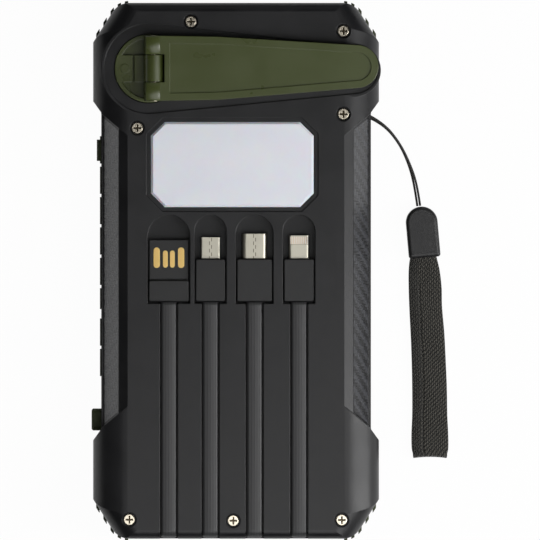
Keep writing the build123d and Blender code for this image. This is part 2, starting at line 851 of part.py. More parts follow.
with BuildPart() as case_screws:
    with BuildSketch(Plane.XY.offset(screw_tip_height)):
        with Locations(screw_places):
            Circle(screw_radius)
    extrude(amount=face - screw_well_depth + seam - screw_tip_height)
    with BuildSketch(Plane.XY.offset(face - screw_well_depth + seam)):
        with Locations(screw_places):
            Circle(screw_head_radius)
    extrude(amount=screw_head_height)
    chamfer(case_screws.edges().group_by(Axis.Z)[-1], cross_width / 2)
    screw_top = face - screw_well_depth + seam + screw_head_height
    with BuildSketch(Plane.XY.offset(screw_top - cross_depth)):
        with Locations(screw_places):
            Rectangle(cross_length, cross_width)
            Rectangle(cross_width, cross_length)
    extrude(amount=cross_depth, mode=Mode.SUBTRACT)
case_screws.part.label = "case_screws"
export_step(case_screws.part, "parts/case_screws.step")

with BuildPart() as solar_panel:
    with BuildSketch(Plane.XY.offset(solar_sink)):
        with Locations((0, solar_y)):
            Rectangle(solar_width, solar_length)
    extrude(amount=solar_thickness)
solar_panel.part.label = "solar_panel"
export_step(solar_panel.part, "parts/solar_panel.step")

# ---------------------------------------------------------------- lamp
with BuildPart() as lamp_lens:
    with BuildSketch(Plane.XY.offset(lens_floor)):
        add(octagon(0))
    extrude(amount=lens_thickness)
    chamfer(lamp_lens.edges().group_by(Axis.Z)[-1], lens_bevel)
lamp_lens.part.label = "lamp_lens"
export_step(lamp_lens.part, "parts/lamp_lens.step")

lamp_board_floor = face - lamp_depth + seam
with BuildPart() as lamp_circuit:
    with BuildSketch(Plane.XY.offset(lamp_board_floor)):
        add(octagon(-lamp_margin - 2 * fit))
    extrude(amount=lamp_board)
lamp_circuit.part.label = "lamp_circuit"
export_step(lamp_circuit.part, "parts/lamp_circuit.step")

with BuildPart() as lamp_leds:
    led_pitch_x = (lamp_width - 2 * lamp_margin) / (led_columns + 1)
    led_pitch_y = (lamp_length - 2 * lamp_margin) / (led_rows + 1)
    with BuildSketch(Plane.XY.offset(lamp_board_floor + lamp_board)):
        with Locations((lamp_x, lamp_y)):
            with GridLocations(led_pitch_x, led_pitch_y, led_columns, led_rows):
                Rectangle(led_size, led_size)
    extrude(amount=led_height)
lamp_leds.part.label = "lamp_leds"
export_step(lamp_leds.part, "parts/lamp_leds.step")

# ---------------------------------------------------------------- crank
with BuildPart() as crank_hub:
    with BuildSketch(Plane.XY.offset(hub_floor)):
        with Locations((hub_x, hub_y)):
            Circle(hub_radius)
    extrude(amount=hub_height)
    with BuildSketch(Plane.XY.offset(face - hub_dish_depth)):
        with Locations((hub_x, hub_y)):
            Circle(hub_dish_radius)
    extrude(amount=hub_dish_depth, mode=Mode.SUBTRACT)
    # stop bar with its stud, and the block under the knuckle
    knuckle_back = hinge_x - 2 * knuckle_radius
    knuckle_front = hinge_x + knuckle_radius
    with BuildSketch(Plane.XY.offset(face - hub_dish_depth)):
        with Locations((hub_x + (bar_start + bar_end) / 2, hub_y)):
            Rectangle(bar_end - bar_start, knuckle_width)
        with Locations(((knuckle_back + knuckle_front) / 2, hub_y)):
            Rectangle(knuckle_front - knuckle_back, knuckle_width)
    extrude(amount=hub_dish_depth)
    with BuildSketch(Plane.XY.offset(face)):
        with Locations((hub_x + (bar_start + bar_end) / 2, hub_y)):
            Circle(bar_stud_radius)
    extrude(amount=fit)
    with BuildSketch(Plane.XZ.offset(-hub_y - knuckle_width / 2)):
        with Locations((hinge_x, hinge_z)):
            Circle(knuckle_radius)
        with Locations((hinge_x, (hinge_z + face - fit) / 2)):
            Rectangle(2 * knuckle_radius, hinge_z - face + fit)
    extrude(amount=knuckle_width)
    with BuildSketch(Plane.XZ.offset(-hub_y - knuckle_width)):
        with Locations((hinge_x, hinge_z)):
            Circle(hinge_pin_radius + seam)
    extrude(amount=2 * knuckle_width, mode=Mode.SUBTRACT)
    # drive shaft, keyed at its lower end
    shaft_step = first_level + gear_face + seam
    with BuildSketch(Plane.XY.offset(shaft_step)):
        with Locations((hub_x, hub_y)):
            Circle(shaft_radius)
    extrude(amount=hub_floor - shaft_step)
    with BuildSketch(Plane.XY.offset(first_level - seam)):
        with Locations((hub_x, hub_y)):
            Circle(shaft_key_radius)
        with Locations((hub_x + shaft_flat + shaft_key_radius, hub_y)):
            Rectangle(2 * shaft_key_radius, 2 * shaft_key_radius, mode=Mode.SUBTRACT)
    extrude(amount=shaft_step - first_level + seam)
    with BuildSketch(Plane.XY.offset(first_level - seam)):
        with Locations((hub_x, hub_y)):
            Circle(hub_screw_radius + seam)
    extrude(amount=hub_screw_depth + fit, mode=Mode.SUBTRACT)
crank_hub.part.label = "crank_hub"
export_step(crank_hub.part, "parts/crank_hub.step")

with BuildPart() as hinge_pin:
    pin_reach = arm_root_half_width + hinge_pin_overhang
    with BuildSketch(Plane.XZ.offset(-hub_y - pin_reach)):
        with Locations((hinge_x, hinge_z)):
            Circle(hinge_pin_radius)
    extrude(amount=2 * pin_reach)
hinge_pin.part.label = "hinge_pin"
export_step(hinge_pin.part, "parts/hinge_pin.step")


def arm_plan(margin):
    """The arm's outline, drawn in by a margin."""
    with BuildSketch() as plan:
        with BuildLine():
            Polyline(
                (hinge_x, hub_y - arm_root_half_width),
                (arm_knee_x, hub_y - arm_knee_half_width),
                (arm_knee_x, hub_y + arm_knee_half_width),
                (hinge_x, hub_y + arm_root_half_width),
                close=True,
            )
        make_face()
        with Locations((tip_x, tip_y)):
            Circle(tip_radius)
        make_hull()
        if margin:
            offset(amount=-margin)
    return plan.sketch


with BuildPart() as crank_arm:
    with BuildSketch(Plane.XY.offset(arm_floor)):
        add(arm_plan(0))
    extrude(amount=arm_thickness)
    with BuildSketch(Plane.XZ.offset(-hub_y - arm_root_half_width)):
        with Locations((hinge_x, hinge_z)):
            Circle(knuckle_radius)
    extrude(amount=2 * arm_root_half_width)
    # hollow underside with a middle rib, recessed panel on top, slot for the hub's knuckle
    arm_ceiling = arm_roof - arm_top_wall
    hollow_start = hinge_x + knuckle_radius + knuckle_gap + arm_wall
    with BuildSketch(Plane.XY.offset(arm_floor)):
        add(arm_plan(arm_wall))
        with Locations((hollow_start - case_width, hub_y)):
            Rectangle(2 * case_width, 4 * arm_root_half_width, mode=Mode.SUBTRACT)
        with Locations((hub_x, hub_y)):
            Rectangle(2 * case_width, arm_wall, mode=Mode.SUBTRACT)
    extrude(amount=arm_ceiling - arm_floor, mode=Mode.SUBTRACT)
    with BuildSketch(Plane.XY.offset(arm_roof - arm_panel_depth)):
        add(arm_plan(arm_panel_margin))
        with Locations((arm_panel_start_x - case_width, hub_y)):
            Rectangle(2 * case_width, 4 * arm_root_half_width, mode=Mode.SUBTRACT)
    extrude(amount=arm_panel_depth, mode=Mode.SUBTRACT)
    with BuildSketch(Plane.XY.offset(arm_floor)):
        with Locations((hinge_x, hub_y)):
            slot_reach = knuckle_radius + knuckle_gap
            Rectangle(2 * slot_reach, knuckle_width + 2 * knuckle_gap)
    extrude(amount=arm_thickness, mode=Mode.SUBTRACT)
    # room for the knob under the tip, and the post that it turns on
    with BuildSketch(Plane.XY.offset(arm_floor)):
        with Locations((tip_x, tip_y)):
            Circle(tip_radius + knuckle_gap)
    extrude(amount=arm_ceiling - arm_floor, mode=Mode.SUBTRACT)
    post_foot = arm_floor + knob_sink + knob_screw_head_height + fit
    with BuildSketch(Plane.XY.offset(post_foot)):
        with Locations((tip_x, tip_y)):
            Circle(knob_post_radius)
    extrude(amount=arm_ceiling - post_foot)
    with BuildSketch(Plane.XY.offset(post_foot)):
        with Locations((tip_x, tip_y)):
            Circle(knob_screw_radius + seam)
    extrude(amount=knob_screw_depth + fit, mode=Mode.SUBTRACT)
    with BuildSketch(Plane.XZ.offset(-hub_y - 2 * arm_root_half_width)):
        with Locations((hinge_x, hinge_z)):
            Circle(hinge_pin_radius + running_fit)
    extrude(amount=4 * arm_root_half_width, mode=Mode.SUBTRACT)
crank_arm.part.label = "crank_arm"
export_step(crank_arm.part, "parts/crank_arm.step")

with BuildPart() as crank_knob:
    with BuildSketch(Plane.XY.offset(arm_floor + knob_sink)):
        with Locations((tip_x, tip_y)):
            Circle(knob_radius)
            Circle(knob_post_radius + running_fit, mode=Mode.SUBTRACT)
            with PolarLocations(knob_radius, knob_flute_count):
                Circle(knob_flute_radius, mode=Mode.SUBTRACT)
    extrude(amount=arm_ceiling - fit - arm_floor - knob_sink)
    with BuildSketch(Plane.XY.offset(arm_floor + knob_sink)):
        with Locations((tip_x, tip_y)):
            Circle(knob_screw_head_radius + fit)
    extrude(amount=knob_screw_head_height + fit, mode=Mode.SUBTRACT)
crank_knob.part.label = "crank_knob"
export_step(crank_knob.part, "parts/crank_knob.step")

with BuildPart() as knob_screw:
    with BuildSketch(Plane.XY.offset(post_foot - seam)):
        with Locations((tip_x, tip_y)):
            Circle(knob_screw_radius)
    extrude(amount=knob_screw_depth)
    with BuildSketch(Plane.XY.offset(post_foot - seam - knob_screw_head_height)):
        with Locations((tip_x, tip_y)):
            Circle(knob_screw_head_radius)
    extrude(amount=knob_screw_head_height)
knob_screw.part.label = "knob_screw"
export_step(knob_screw.part, "parts/knob_screw.step")

with BuildPart() as hub_bush:
    with BuildSketch(Plane.XY.offset(bush_foot)):
        with Locations((hub_x, hub_y)):
            Circle(bush_radius)
    extrude(amount=hub_floor - seam - bush_foot)
    with BuildSketch(Plane.XY.offset(hub_floor - seam - bush_flange)):
        with Locations((hub_x, hub_y)):
            Circle(bush_flange_radius)
    extrude(amount=bush_flange)
    with BuildSketch(Plane.XY.offset(bush_foot)):
        with Locations((hub_x, hub_y)):
            Circle(shaft_radius + running_fit)
    extrude(amount=hub_floor, mode=Mode.SUBTRACT)
hub_bush.part.label = "hub_bush"
export_step(hub_bush.part, "parts/hub_bush.step")

with BuildPart() as hub_screw:
    with BuildSketch(Plane.XY.offset(first_level - 2 * seam)):
        with Locations((hub_x, hub_y)):
            Circle(hub_screw_radius)
    extrude(amount=hub_screw_depth)
    with BuildSketch(Plane.XY.offset(first_level - 2 * seam - hub_screw_head_height)):
        with Locations((hub_x, hub_y)):
            Circle(hub_screw_head_radius)
    extrude(amount=hub_screw_head_height)
hub_screw.part.label = "hub_screw"
export_step(hub_screw.part, "parts/hub_screw.step")

# ---------------------------------------------------------------- gear train
with BuildSketch() as key_hole:
    with Locations((hub_x, hub_y)):
        Circle(shaft_key_radius + seam)
    with Locations((hub_x + shaft_flat + seam + shaft_key_radius, hub_y)):
        Rectangle(2 * shaft_key_radius, 3 * shaft_key_radius, mode=Mode.SUBTRACT)

with BuildPart() as drive_gear:
    with BuildSketch(Plane.XY.offset(first_level)):
        with Locations((hub_x, hub_y)):
            add(gear_outline(wheel_teeth, wheel_phase))
        add(key_hole.sketch, mode=Mode.SUBTRACT)
    extrude(amount=gear_face)
drive_gear.part.label = "drive_gear"
export_step(drive_gear.part, "parts/drive_gear.step")


def idler(place, wheel_level):
    """A pinion and a wheel in one, with a spacer towards each plate."""
    pinion_floor = wheel_level - gear_face - level_gap
    spacer_floor = lower_plate_height + plate_thickness + fit
    with BuildPart() as gear:
        with BuildSketch(Plane.XY.offset(spacer_floor)):
            with Locations(place):
                Circle(spacer_radius)
        extrude(amount=upper_plate_height - fit - spacer_floor)
        with BuildSketch(Plane.XY.offset(pinion_floor)):
            with Locations(place):
                add(gear_outline(pinion_teeth, pinion_phase))
        extrude(amount=wheel_level - pinion_floor)
        with BuildSketch(Plane.XY.offset(wheel_level)):
            with Locations(place):
                add(gear_outline(wheel_teeth, wheel_phase))
        extrude(amount=gear_face)
        with BuildSketch():
            with Locations(place):
                Circle(arbor_radius + running_fit)
        extrude(amount=case_height, mode=Mode.SUBTRACT)
    return gear.part


with BuildPart() as first_idler:
    add(idler(first_idler_place, second_level))
first_idler.part.label = "first_idler"
export_step(first_idler.part, "parts/first_idler.step")

with BuildPart() as second_idler:
    add(idler(second_idler_place, third_level))
second_idler.part.label = "second_idler"
export_step(second_idler.part, "parts/second_idler.step")


def gearbox_plate(height):
    """One of the two plates that hold the gears, cut clear of the screw posts."""
    middle = (hub_x, hub_y, height)
    with BuildPart() as plate:
        with BuildSketch(Plane(origin=middle, x_dir=(train_x, train_y, 0))):
            with Locations(((plate_start + plate_end) / 2, 0)):
                Rectangle(plate_end - plate_start, 2 * plate_half_width)
        extrude(amount=plate_thickness)
        with BuildSketch(Plane.XY.offset(height)):
            with Locations(screw_places):
                Circle(post_radius + 2 * fit)
        extrude(amount=plate_thickness, mode=Mode.SUBTRACT)
        with BuildSketch(Plane.XY.offset(height)):
            with Locations(first_idler_place, second_idler_place):
                Circle(arbor_radius + seam)
            with Locations(generator_place):
                Circle(rotor_shaft_radius + running_fit)
        extrude(amount=plate_thickness, mode=Mode.SUBTRACT)
    return plate.part


with BuildPart() as gearbox_base:
    add(gearbox_plate(lower_plate_height))
    with BuildSketch(Plane.XY.offset(lower_plate_height)):
        with Locations(pillar_places):
            Circle(pillar_radius)
    extrude(amount=upper_plate_height - seam - lower_plate_height)
    with BuildSketch():
        with Locations(pillar_places):
            Circle(gearbox_screw_radius + fit)
    extrude(amount=case_height, mode=Mode.SUBTRACT)
gearbox_base.part.label = "gearbox_base"
export_step(gearbox_base.part, "parts/gearbox_base.step")

with BuildPart() as gearbox_cover:
    add(gearbox_plate(upper_plate_height))
    with BuildSketch():
        with Locations(pillar_places):
            Circle(gearbox_screw_radius + fit)
        with Locations((hub_x, hub_y)):
            Circle(shaft_radius + running_fit)
    extrude(amount=case_height, mode=Mode.SUBTRACT)
gearbox_cover.part.label = "gearbox_cover"
export_step(gearbox_cover.part, "parts/gearbox_cover.step")

with BuildPart() as gearbox_screws:
    with BuildSketch(Plane.XY.offset(lower_plate_height - seam)):
        with Locations(pillar_places):
            Circle(gearbox_screw_radius)
    extrude(amount=upper_plate_height + plate_thickness + gearbox_screw_bite - lower_plate_height)
    with BuildSketch(Plane.XY.offset(lower_plate_height - seam - gearbox_head_height)):
        with Locations(pillar_places):
            Circle(gearbox_head_radius)
    extrude(amount=gearbox_head_height)
gearbox_screws.part.label = "gearbox_screws"
export_step(gearbox_screws.part, "parts/gearbox_screws.step")

with BuildPart() as gear_arbors:
    with BuildSketch(Plane.XY.offset(lower_plate_height)):
        with Locations(first_idler_place, second_idler_place):
            Circle(arbor_radius)
    extrude(amount=upper_plate_height + plate_thickness - lower_plate_height)
gear_arbors.part.label = "gear_arbors"
export_step(gear_arbors.part, "parts/gear_arbors.step")

# ---------------------------------------------------------------- generator
generator_floor = lower_plate_height + plate_thickness + seam
coil_floor = generator_floor + lamp_board
with BuildPart() as generator_case:
    with BuildSketch(Plane.XY.offset(generator_floor)):
        with Locations(generator_place):
            Circle(generator_radius)
    extrude(amount=generator_roof - generator_floor)
    with BuildSketch(Plane.XY.offset(generator_floor)):
        with Locations(generator_place):
            Circle(generator_radius - generator_wall)
    extrude(amount=generator_roof - generator_wall - generator_floor, mode=Mode.SUBTRACT)
    with BuildSketch(Plane.XY.offset(generator_floor)):
        with Locations(generator_place):
            Circle(rotor_shaft_radius + running_fit)
    extrude(amount=generator_roof, mode=Mode.SUBTRACT)
generator_case.part.label = "generator_case"
export_step(generator_case.part, "parts/generator_case.step")

with BuildPart() as generator_coils:
    with BuildSketch(Plane.XY.offset(generator_floor)):
        with Locations(generator_place):
            Circle(generator_radius - generator_wall - fit)
    extrude(amount=lamp_board)
    with BuildSketch(Plane.XY.offset(coil_floor)):
        with Locations(generator_place):
            with PolarLocations(coil_ring_radius, coil_count):
                Circle(coil_radius)
    extrude(amount=coil_height)
    with BuildSketch(Plane.XY.offset(generator_floor)):
        with Locations(generator_place):
            Circle(rotor_shaft_radius + fit)
            with PolarLocations(coil_ring_radius, coil_count):
                Circle(coil_radius / 2)
    extrude(amount=generator_roof, mode=Mode.SUBTRACT)
generator_coils.part.label = "generator_coils"
export_step(generator_coils.part, "parts/generator_coils.step")

with BuildPart() as generator_rotor:
    with BuildSketch(Plane.XY.offset(lower_plate_height + fit)):
        with Locations(generator_place):
            Circle(rotor_shaft_radius)
    extrude(amount=upper_plate_height + plate_thickness - lower_plate_height - fit)
    with BuildSketch(Plane.XY.offset(coil_floor + coil_height + 4 * fit)):
        with Locations(generator_place):
            Circle(rotor_disc_radius)
    extrude(amount=rotor_disc_height)
    with BuildSketch(Plane.XY.offset(third_level)):
        with Locations(generator_place):
            add(gear_outline(pinion_teeth, pinion_phase))
    extrude(amount=gear_face)
generator_rotor.part.label = "generator_rotor"
export_step(generator_rotor.part, "parts/generator_rotor.step")

# ---------------------------------------------------------------- board, sockets, button
with BuildPart() as main_board:
    with BuildSketch(Plane.XY.offset(board_height)):
        with Locations((board_width / 2 - board_left, (board_head + board_foot) / 2)):
            Rectangle(board_width, board_head - board_foot)
        for screw_y in board_screw_ys:
            with Locations((board_screw_x, screw_y)):
                Circle(board_screw_radius + fit, mode=Mode.SUBTRACT)
    extrude(amount=board_thickness - seam)
main_board.part.label = "main_board"
export_step(main_board.part, "parts/main_board.step")

with BuildPart() as board_screws:
    for screw_y in board_screw_ys:
        with BuildSketch(Plane.XY.offset(board_roof)):
            with Locations((board_screw_x, screw_y)):
                Circle(board_screw_head)
        extrude(amount=board_screw_radius)
        with BuildSketch(Plane.XY.offset(board_height - board_screw_depth)):
            with Locations((board_screw_x, screw_y)):
                Circle(board_screw_radius)
        extrude(amount=board_thickness + board_screw_depth)
board_screws.part.label = "board_screws"
export_step(board_screws.part, "parts/board_screws.step")

for name, socket_y, width, height in socket_table:
    depth, mouth_width, mouth_height, tongue_width, tongue_height = socket_insides[name]
    middle = board_roof + height / 2
    with BuildPart() as socket:
        with BuildSketch(Plane.YZ.offset(-socket_reach)):
            with Locations((socket_y, middle)):
                Rectangle(width, height)
        extrude(amount=depth)
        with BuildSketch(Plane.YZ.offset(-socket_reach)):
            with Locations((socket_y, middle)):
                RectangleRounded(mouth_width, mouth_height, mouth_height / 5)
        extrude(amount=depth - 2 * socket_wall, mode=Mode.SUBTRACT)
        with BuildSketch(Plane.YZ.offset(2 * socket_wall - socket_reach)):
            with Locations((socket_y, middle + (mouth_height - tongue_height) / 6)):
                Rectangle(tongue_width, tongue_height)
        extrude(amount=depth - 3 * socket_wall)
    socket.part.label = name
    export_step(socket.part, f"parts/{name}.step")

with BuildPart() as power_button:
    button_middle = (low_split + high_split) / 2
    with BuildSketch(Plane.YZ.offset(-button_reach)):
        with Locations((button_y, button_middle)):
            RectangleRounded(button_length, button_height, button_corner)
    extrude(amount=button_reach - bumper_inner + fit)
    chamfer(power_button.edges().group_by(Axis.X)[0], button_flange / 2)
    with BuildSketch(Plane.YZ.offset(fit - bumper_inner)):
        with Locations((button_y, button_middle)):
            Rectangle(button_length + 2 * button_flange, button_height + 2 * button_flange)
    extrude(amount=button_flange)
power_button.part.label = "power_button"
export_step(power_button.part, "parts/power_button.step")

with BuildPart() as button_switch:
    plunger_tip = bumper_inner - fit - button_flange - button_travel - fit / 2
    with BuildSketch(Plane.YZ.offset(-plunger_tip)):
        with Locations((button_y, button_middle)):
            Circle(switch_plunger_radius)
    extrude(amount=switch_plunger)
    with BuildSketch(Plane.YZ.offset(switch_plunger - plunger_tip)):
        with Locations((button_y, board_roof + switch_size / 2)):
            Rectangle(switch_size, switch_size)
    extrude(amount=switch_depth)
button_switch.part.label = "button_switch"
export_step(button_switch.part, "parts/button_switch.step")

# the port cover swings out on its round end
with BuildPart() as port_cover:
    cover_pivot_y = cover_foot + cover_thickness / 2
    cover_pivot_x = cover_thickness / 2 - half_waist
    with BuildSketch(Plane.XY.offset(cover_floor)):
        with Locations((cover_pivot_x, (cover_head + cover_pivot_y) / 2)):
            Rectangle(cover_thickness, cover_head - cover_pivot_y)
        with Locations((cover_pivot_x, cover_pivot_y)):
            Circle(cover_thickness / 2)
    extrude(amount=cover_roof - cover_floor)
    with BuildSketch(Plane.XY.offset(cover_floor + 2 * rail_height)):
        for pad in range(rail_cover_count):
            pad_head = rail_middle - pad * rail_pitch + (rail_pitch - rail_notch) / 2
            pad_foot = pad_head - rail_pitch + rail_notch
            pad_foot = max(pad_foot, cover_pivot_y + cover_thickness / 2 + 3 * fit)
            with Locations((-half_waist, (pad_head + pad_foot) / 2)):
                Rectangle(2 * rail_height, pad_head - pad_foot)
    extrude(amount=cover_roof - cover_floor - 4 * rail_height)
    with BuildSketch(Plane.XY.offset(tab_floor)):
        with Locations((-half_waist, (tab_top + tab_foot) / 2)):
            Rectangle(2 * (tab_reach - half_waist), tab_top - tab_foot)
    extrude(amount=tab_roof - tab_floor)
port_cover.part.label = "port_cover"
export_step(port_cover.part, "parts/port_cover.step")

# ---------------------------------------------------------------- cell
with BuildPart() as battery_cell:
    with BuildSketch(Plane.XY.offset(cell_floor)):
        with Locations((cell_left + cell_width / 2, cell_foot + cell_length / 2)):
            Rectangle(cell_width, cell_length)
    extrude(amount=cell_thickness)
    fillet(battery_cell.edges().filter_by(Axis.Y), cell_edge)
battery_cell.part.label = "battery_cell"
export_step(battery_cell.part, "parts/battery_cell.step")

with BuildPart() as cell_pad:
    with BuildSketch(Plane.XY.offset(floor_thickness + seam)):
        with Locations((cell_left + cell_width / 2, cell_foot + cell_length / 2)):
            Rectangle(cell_width - 4 * cell_edge, cell_length - 4 * cell_edge)
    extrude(amount=cell_tape - 2 * seam)
cell_pad.part.label = "cell_pad"
export_step(cell_pad.part, "parts/cell_pad.step")

# ---------------------------------------------------------------- captive leads
for name, plug_x, grip_width, grip_head, metal_width, metal_thickness, metal_tip in plug_table:
    with BuildPart() as root:
        add(lead_root(plug_x, 0))
    root.part.label = f"{name}_lead_root"
    export_step(root.part, f"parts/{name}_lead_root.step")

    with BuildPart() as lead:
        with BuildSketch(Plane.YZ.offset(plug_x)):
            lead_length = grip_foot_y - seam - lead_hinge_y
            with Locations((lead_hinge_y + lead_length / 2, lead_middle)):
                Rectangle(lead_length, lead_thickness)
            with Locations((lead_hinge_y, lead_middle)):
                Circle(lead_thickness / 2)
        extrude(amount=lead_width / 2, both=True)
    lead.part.label = f"{name}_lead"
    export_step(lead.part, f"parts/{name}_lead.step")

    with BuildPart() as grip:
        with BuildSketch(Plane.XY.offset(plug_floor)):
            with Locations((plug_x, (grip_head + grip_foot_y) / 2)):
                Rectangle(grip_width, grip_head - grip_foot_y)
        extrude(amount=grip_height)
        fillet(grip.edges().filter_by(Axis.Z), grip_edge)
        chamfer(grip.edges().group_by(Axis.Z)[-1], grip_edge / 2)
    grip.part.label = f"{name}_plug_grip"
    export_step(grip.part, f"parts/{name}_plug_grip.step")

    with BuildPart() as metal:
        with BuildSketch(Plane.XZ.offset(-metal_tip)):
            with Locations((plug_x, plug_middle)):
                RectangleRounded(
                    metal_width, metal_thickness, metal_thickness * metal_rounding[name]
                )
        extrude(amount=metal_tip - grip_head - seam)
        if name in hollow_plugs:
            with BuildSketch(Plane.XZ.offset(-metal_tip)):
                with Locations((plug_x, plug_middle)):
                    Rectangle(
                        metal_width - 2 * metal_rounding[name] * metal_thickness,
                        metal_thickness - 2 * plug_shell,
                    )
            extrude(amount=metal_tip - grip_head - 2 * plug_shell, mode=Mode.SUBTRACT)
    metal.part.label = f"{name}_plug_metal"
    export_step(metal.part, f"parts/{name}_plug_metal.step")

with BuildPart() as usb_a_contacts:
    _, plug_x, _, _, _, metal_thickness, _ = plug_table[0]
    with BuildSketch(Plane.XY.offset(plug_middle + metal_thickness / 2)):
        for place, width, foot, head in contact_table:
            for side in (1, -1):
                with Locations((plug_x + side * place, (foot + head) / 2)):
                    SlotOverall(head - foot, width, rotation=90)
    extrude(amount=contact_height)
usb_a_contacts.part.label = "usb_a_contacts"
export_step(usb_a_contacts.part, "parts/usb_a_contacts.step")

# ---------------------------------------------------------------- lanyard
def arc_radii(points):
    """Radius of the tangent arc at each inner point of a route."""
    radii = []
    places = [Vector(*point) for point in points]
    for before, here, after in zip(places, places[1:], places[2:]):
        turn = radians((here - before).get_angle(after - here))
        shorter = min((here - before).length, (after - here).length)
        radii.append(0.45 * shorter / tan(turn / 2))
    print("radii", [round(radius, 1) for radius in radii])
    return radii


for name, route in lanyard_routes.items():
    with BuildPart() as strand:
        with BuildLine() as strand_line:
            FilletPolyline(*route, radius=arc_radii(route))
        with BuildSketch(Plane(origin=strand_line.line @ 0, z_dir=strand_line.line % 0)):
            Circle(lanyard_cord / 2)
        sweep(path=strand_line.line)
    print(name, "length", strand_line.wire().length, "volume", strand.part.volume)
    strand.part.label = name
    export_step(strand.part, f"parts/{name}.step")

with BuildPart() as lanyard_cap:
    with BuildSketch():
        with Locations(Location((cap_x, cap_y, 0), (0, 0, cap_tilt))):
            with Locations((0, -cap_width / 4)):
                Rectangle(cap_width, cap_length - cap_width / 2)
            with Locations((0, (cap_length - cap_width) / 2)):
                Circle(cap_width / 2)
        fillet(vertices().sort_by(Axis.Y)[:2], cap_foot_radius)
    extrude(amount=cap_height)
    fillet(lanyard_cap.edges().group_by(Axis.Z)[-1], cap_edge)
lanyard_cap.part.label = "lanyard_cap"
export_step(lanyard_cap.part, "parts/lanyard_cap.step")

with BuildPart() as lanyard_strap:
    with BuildSketch():
        with BuildLine():
            ThreePointArc(*strap_route)
        trace(line_width=strap_width)
    extrude(amount=strap_thickness)
lanyard_strap.part.label = "lanyard_strap"
export_step(lanyard_strap.part, "parts/lanyard_strap.step")
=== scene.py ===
# The looks of a pocket charger with a folding crank, captive leads and a lanyard.
# Lengths are metres in the part's own frame: crank face up (+Z), crank end at +Y.
import json
from math import cos, pi, radians, sin

import bmesh
import bpy
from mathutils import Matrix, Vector


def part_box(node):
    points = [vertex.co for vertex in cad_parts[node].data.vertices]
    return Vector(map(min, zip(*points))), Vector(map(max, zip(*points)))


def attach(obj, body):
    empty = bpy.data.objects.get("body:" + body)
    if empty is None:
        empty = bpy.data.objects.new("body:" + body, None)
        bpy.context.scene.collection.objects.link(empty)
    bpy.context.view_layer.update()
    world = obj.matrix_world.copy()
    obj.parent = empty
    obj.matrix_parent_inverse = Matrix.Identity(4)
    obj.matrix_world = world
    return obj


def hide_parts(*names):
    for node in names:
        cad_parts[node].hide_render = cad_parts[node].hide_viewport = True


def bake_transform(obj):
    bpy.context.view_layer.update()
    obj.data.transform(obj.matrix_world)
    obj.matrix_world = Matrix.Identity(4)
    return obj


MM = 0.001
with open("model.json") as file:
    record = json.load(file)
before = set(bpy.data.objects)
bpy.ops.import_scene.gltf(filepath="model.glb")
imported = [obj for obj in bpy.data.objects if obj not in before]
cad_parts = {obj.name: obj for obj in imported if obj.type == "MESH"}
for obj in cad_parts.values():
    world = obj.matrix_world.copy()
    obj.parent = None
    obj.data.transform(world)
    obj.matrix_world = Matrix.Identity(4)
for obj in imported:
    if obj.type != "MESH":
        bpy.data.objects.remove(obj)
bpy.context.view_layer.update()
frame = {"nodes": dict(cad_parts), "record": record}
nodes = frame["nodes"]

# ---------------------------------------------------------------- sizes
plug_names = ("usb_a", "micro_usb", "type_c", "lightning")
face_height = 26.0 * MM
lead_width = 4.6 * MM
lead_thickness = 1.5 * MM
lead_bend = 1.5 * MM              # radius at the case's edge and where the lead goes in
lead_inner_reach = 2.6 * MM       # how far the root goes in from the end face
lanyard_cord = 0.65 * MM
cord_radius = lanyard_cord / 2
# the part's own routes for the two legs of the loop, in millimetres
lanyard_routes = {
    "lanyard_cord_upper": [
        (38.3, 44.4, 11.5),
        (42.4, 42.2, 10.6),
        (46.9, 36.7, 7.2),
        (50.0, 30.5, 3.5),
        (52.0, 24.5, 2.0),
        (52.8, 18.7, 2.7),
    ],
    "lanyard_cord_lower": [
        (38.3, 43.8, 10.5),
        (42.2, 42.0, 9.4),
        (46.8, 36.6, 6.0),
        (49.6, 30.5, 2.3),
        (51.2, 24.5, 1.4),
        (52.0, 18.6, 2.6),
    ],
}
# the strap's edges from above, in millimetres: place along it, left edge, right edge
strap_edges = [
    (6.0, 50.8, 56.8),
    (3.4, 50.0, 57.5),
    (0.0, 49.6, 58.3),
    (-5.0, 49.6, 58.9),
    (-10.0, 49.8, 59.0),
    (-19.0, 50.2, 59.7),
    (-31.0, 50.6, 60.3),
    (-41.0, 50.6, 60.5),
    (-47.0, 50.4, 60.8),
    (-51.0, 50.5, 60.8),
    (-52.4, 50.8, 60.5),
]
strap_layer = 1.15 * MM
strap_gap = 0.5 * MM
strap_lift = 0.03 * MM            # under the strap's lower layer
strap_crown = 0.30 * MM
strap_dip = 0.28 * MM
strap_ripple = 0.10 * MM
strap_foot_hollow = 0.35 * MM

# ---------------------------------------------------------------- camera
photo_width = 540                 # pixels
photo_scale = 3.5 / MM            # pixels a metre, on the crank face
photo_centre = (9.71 * MM, 0.23 * MM)
camera_distance = 5.0             # the photograph's outline is nearly parallel
sensor = 36.0                     # millimetres, as is the lens

camera_data = bpy.data.cameras.new("camera")
camera_data.sensor_width = sensor
camera_data.lens = sensor * camera_distance * photo_scale / photo_width
camera_data.clip_start = 0.01
camera_data.clip_end = 20.0
camera = bpy.data.objects.new("camera", camera_data)
camera.location = (*photo_centre, face_height + camera_distance)
bpy.context.scene.collection.objects.link(camera)
bpy.context.scene.camera = camera
bpy.context.scene.view_settings.view_transform = "Standard"


# ---------------------------------------------------------------- materials
def linear(*srgb):
    """Linear colour of an 8-bit sRGB one."""
    return tuple(
        (c / 255 / 12.92) if c <= 10 else ((c / 255 + 0.055) / 1.055) ** 2.4
        for c in srgb
    )


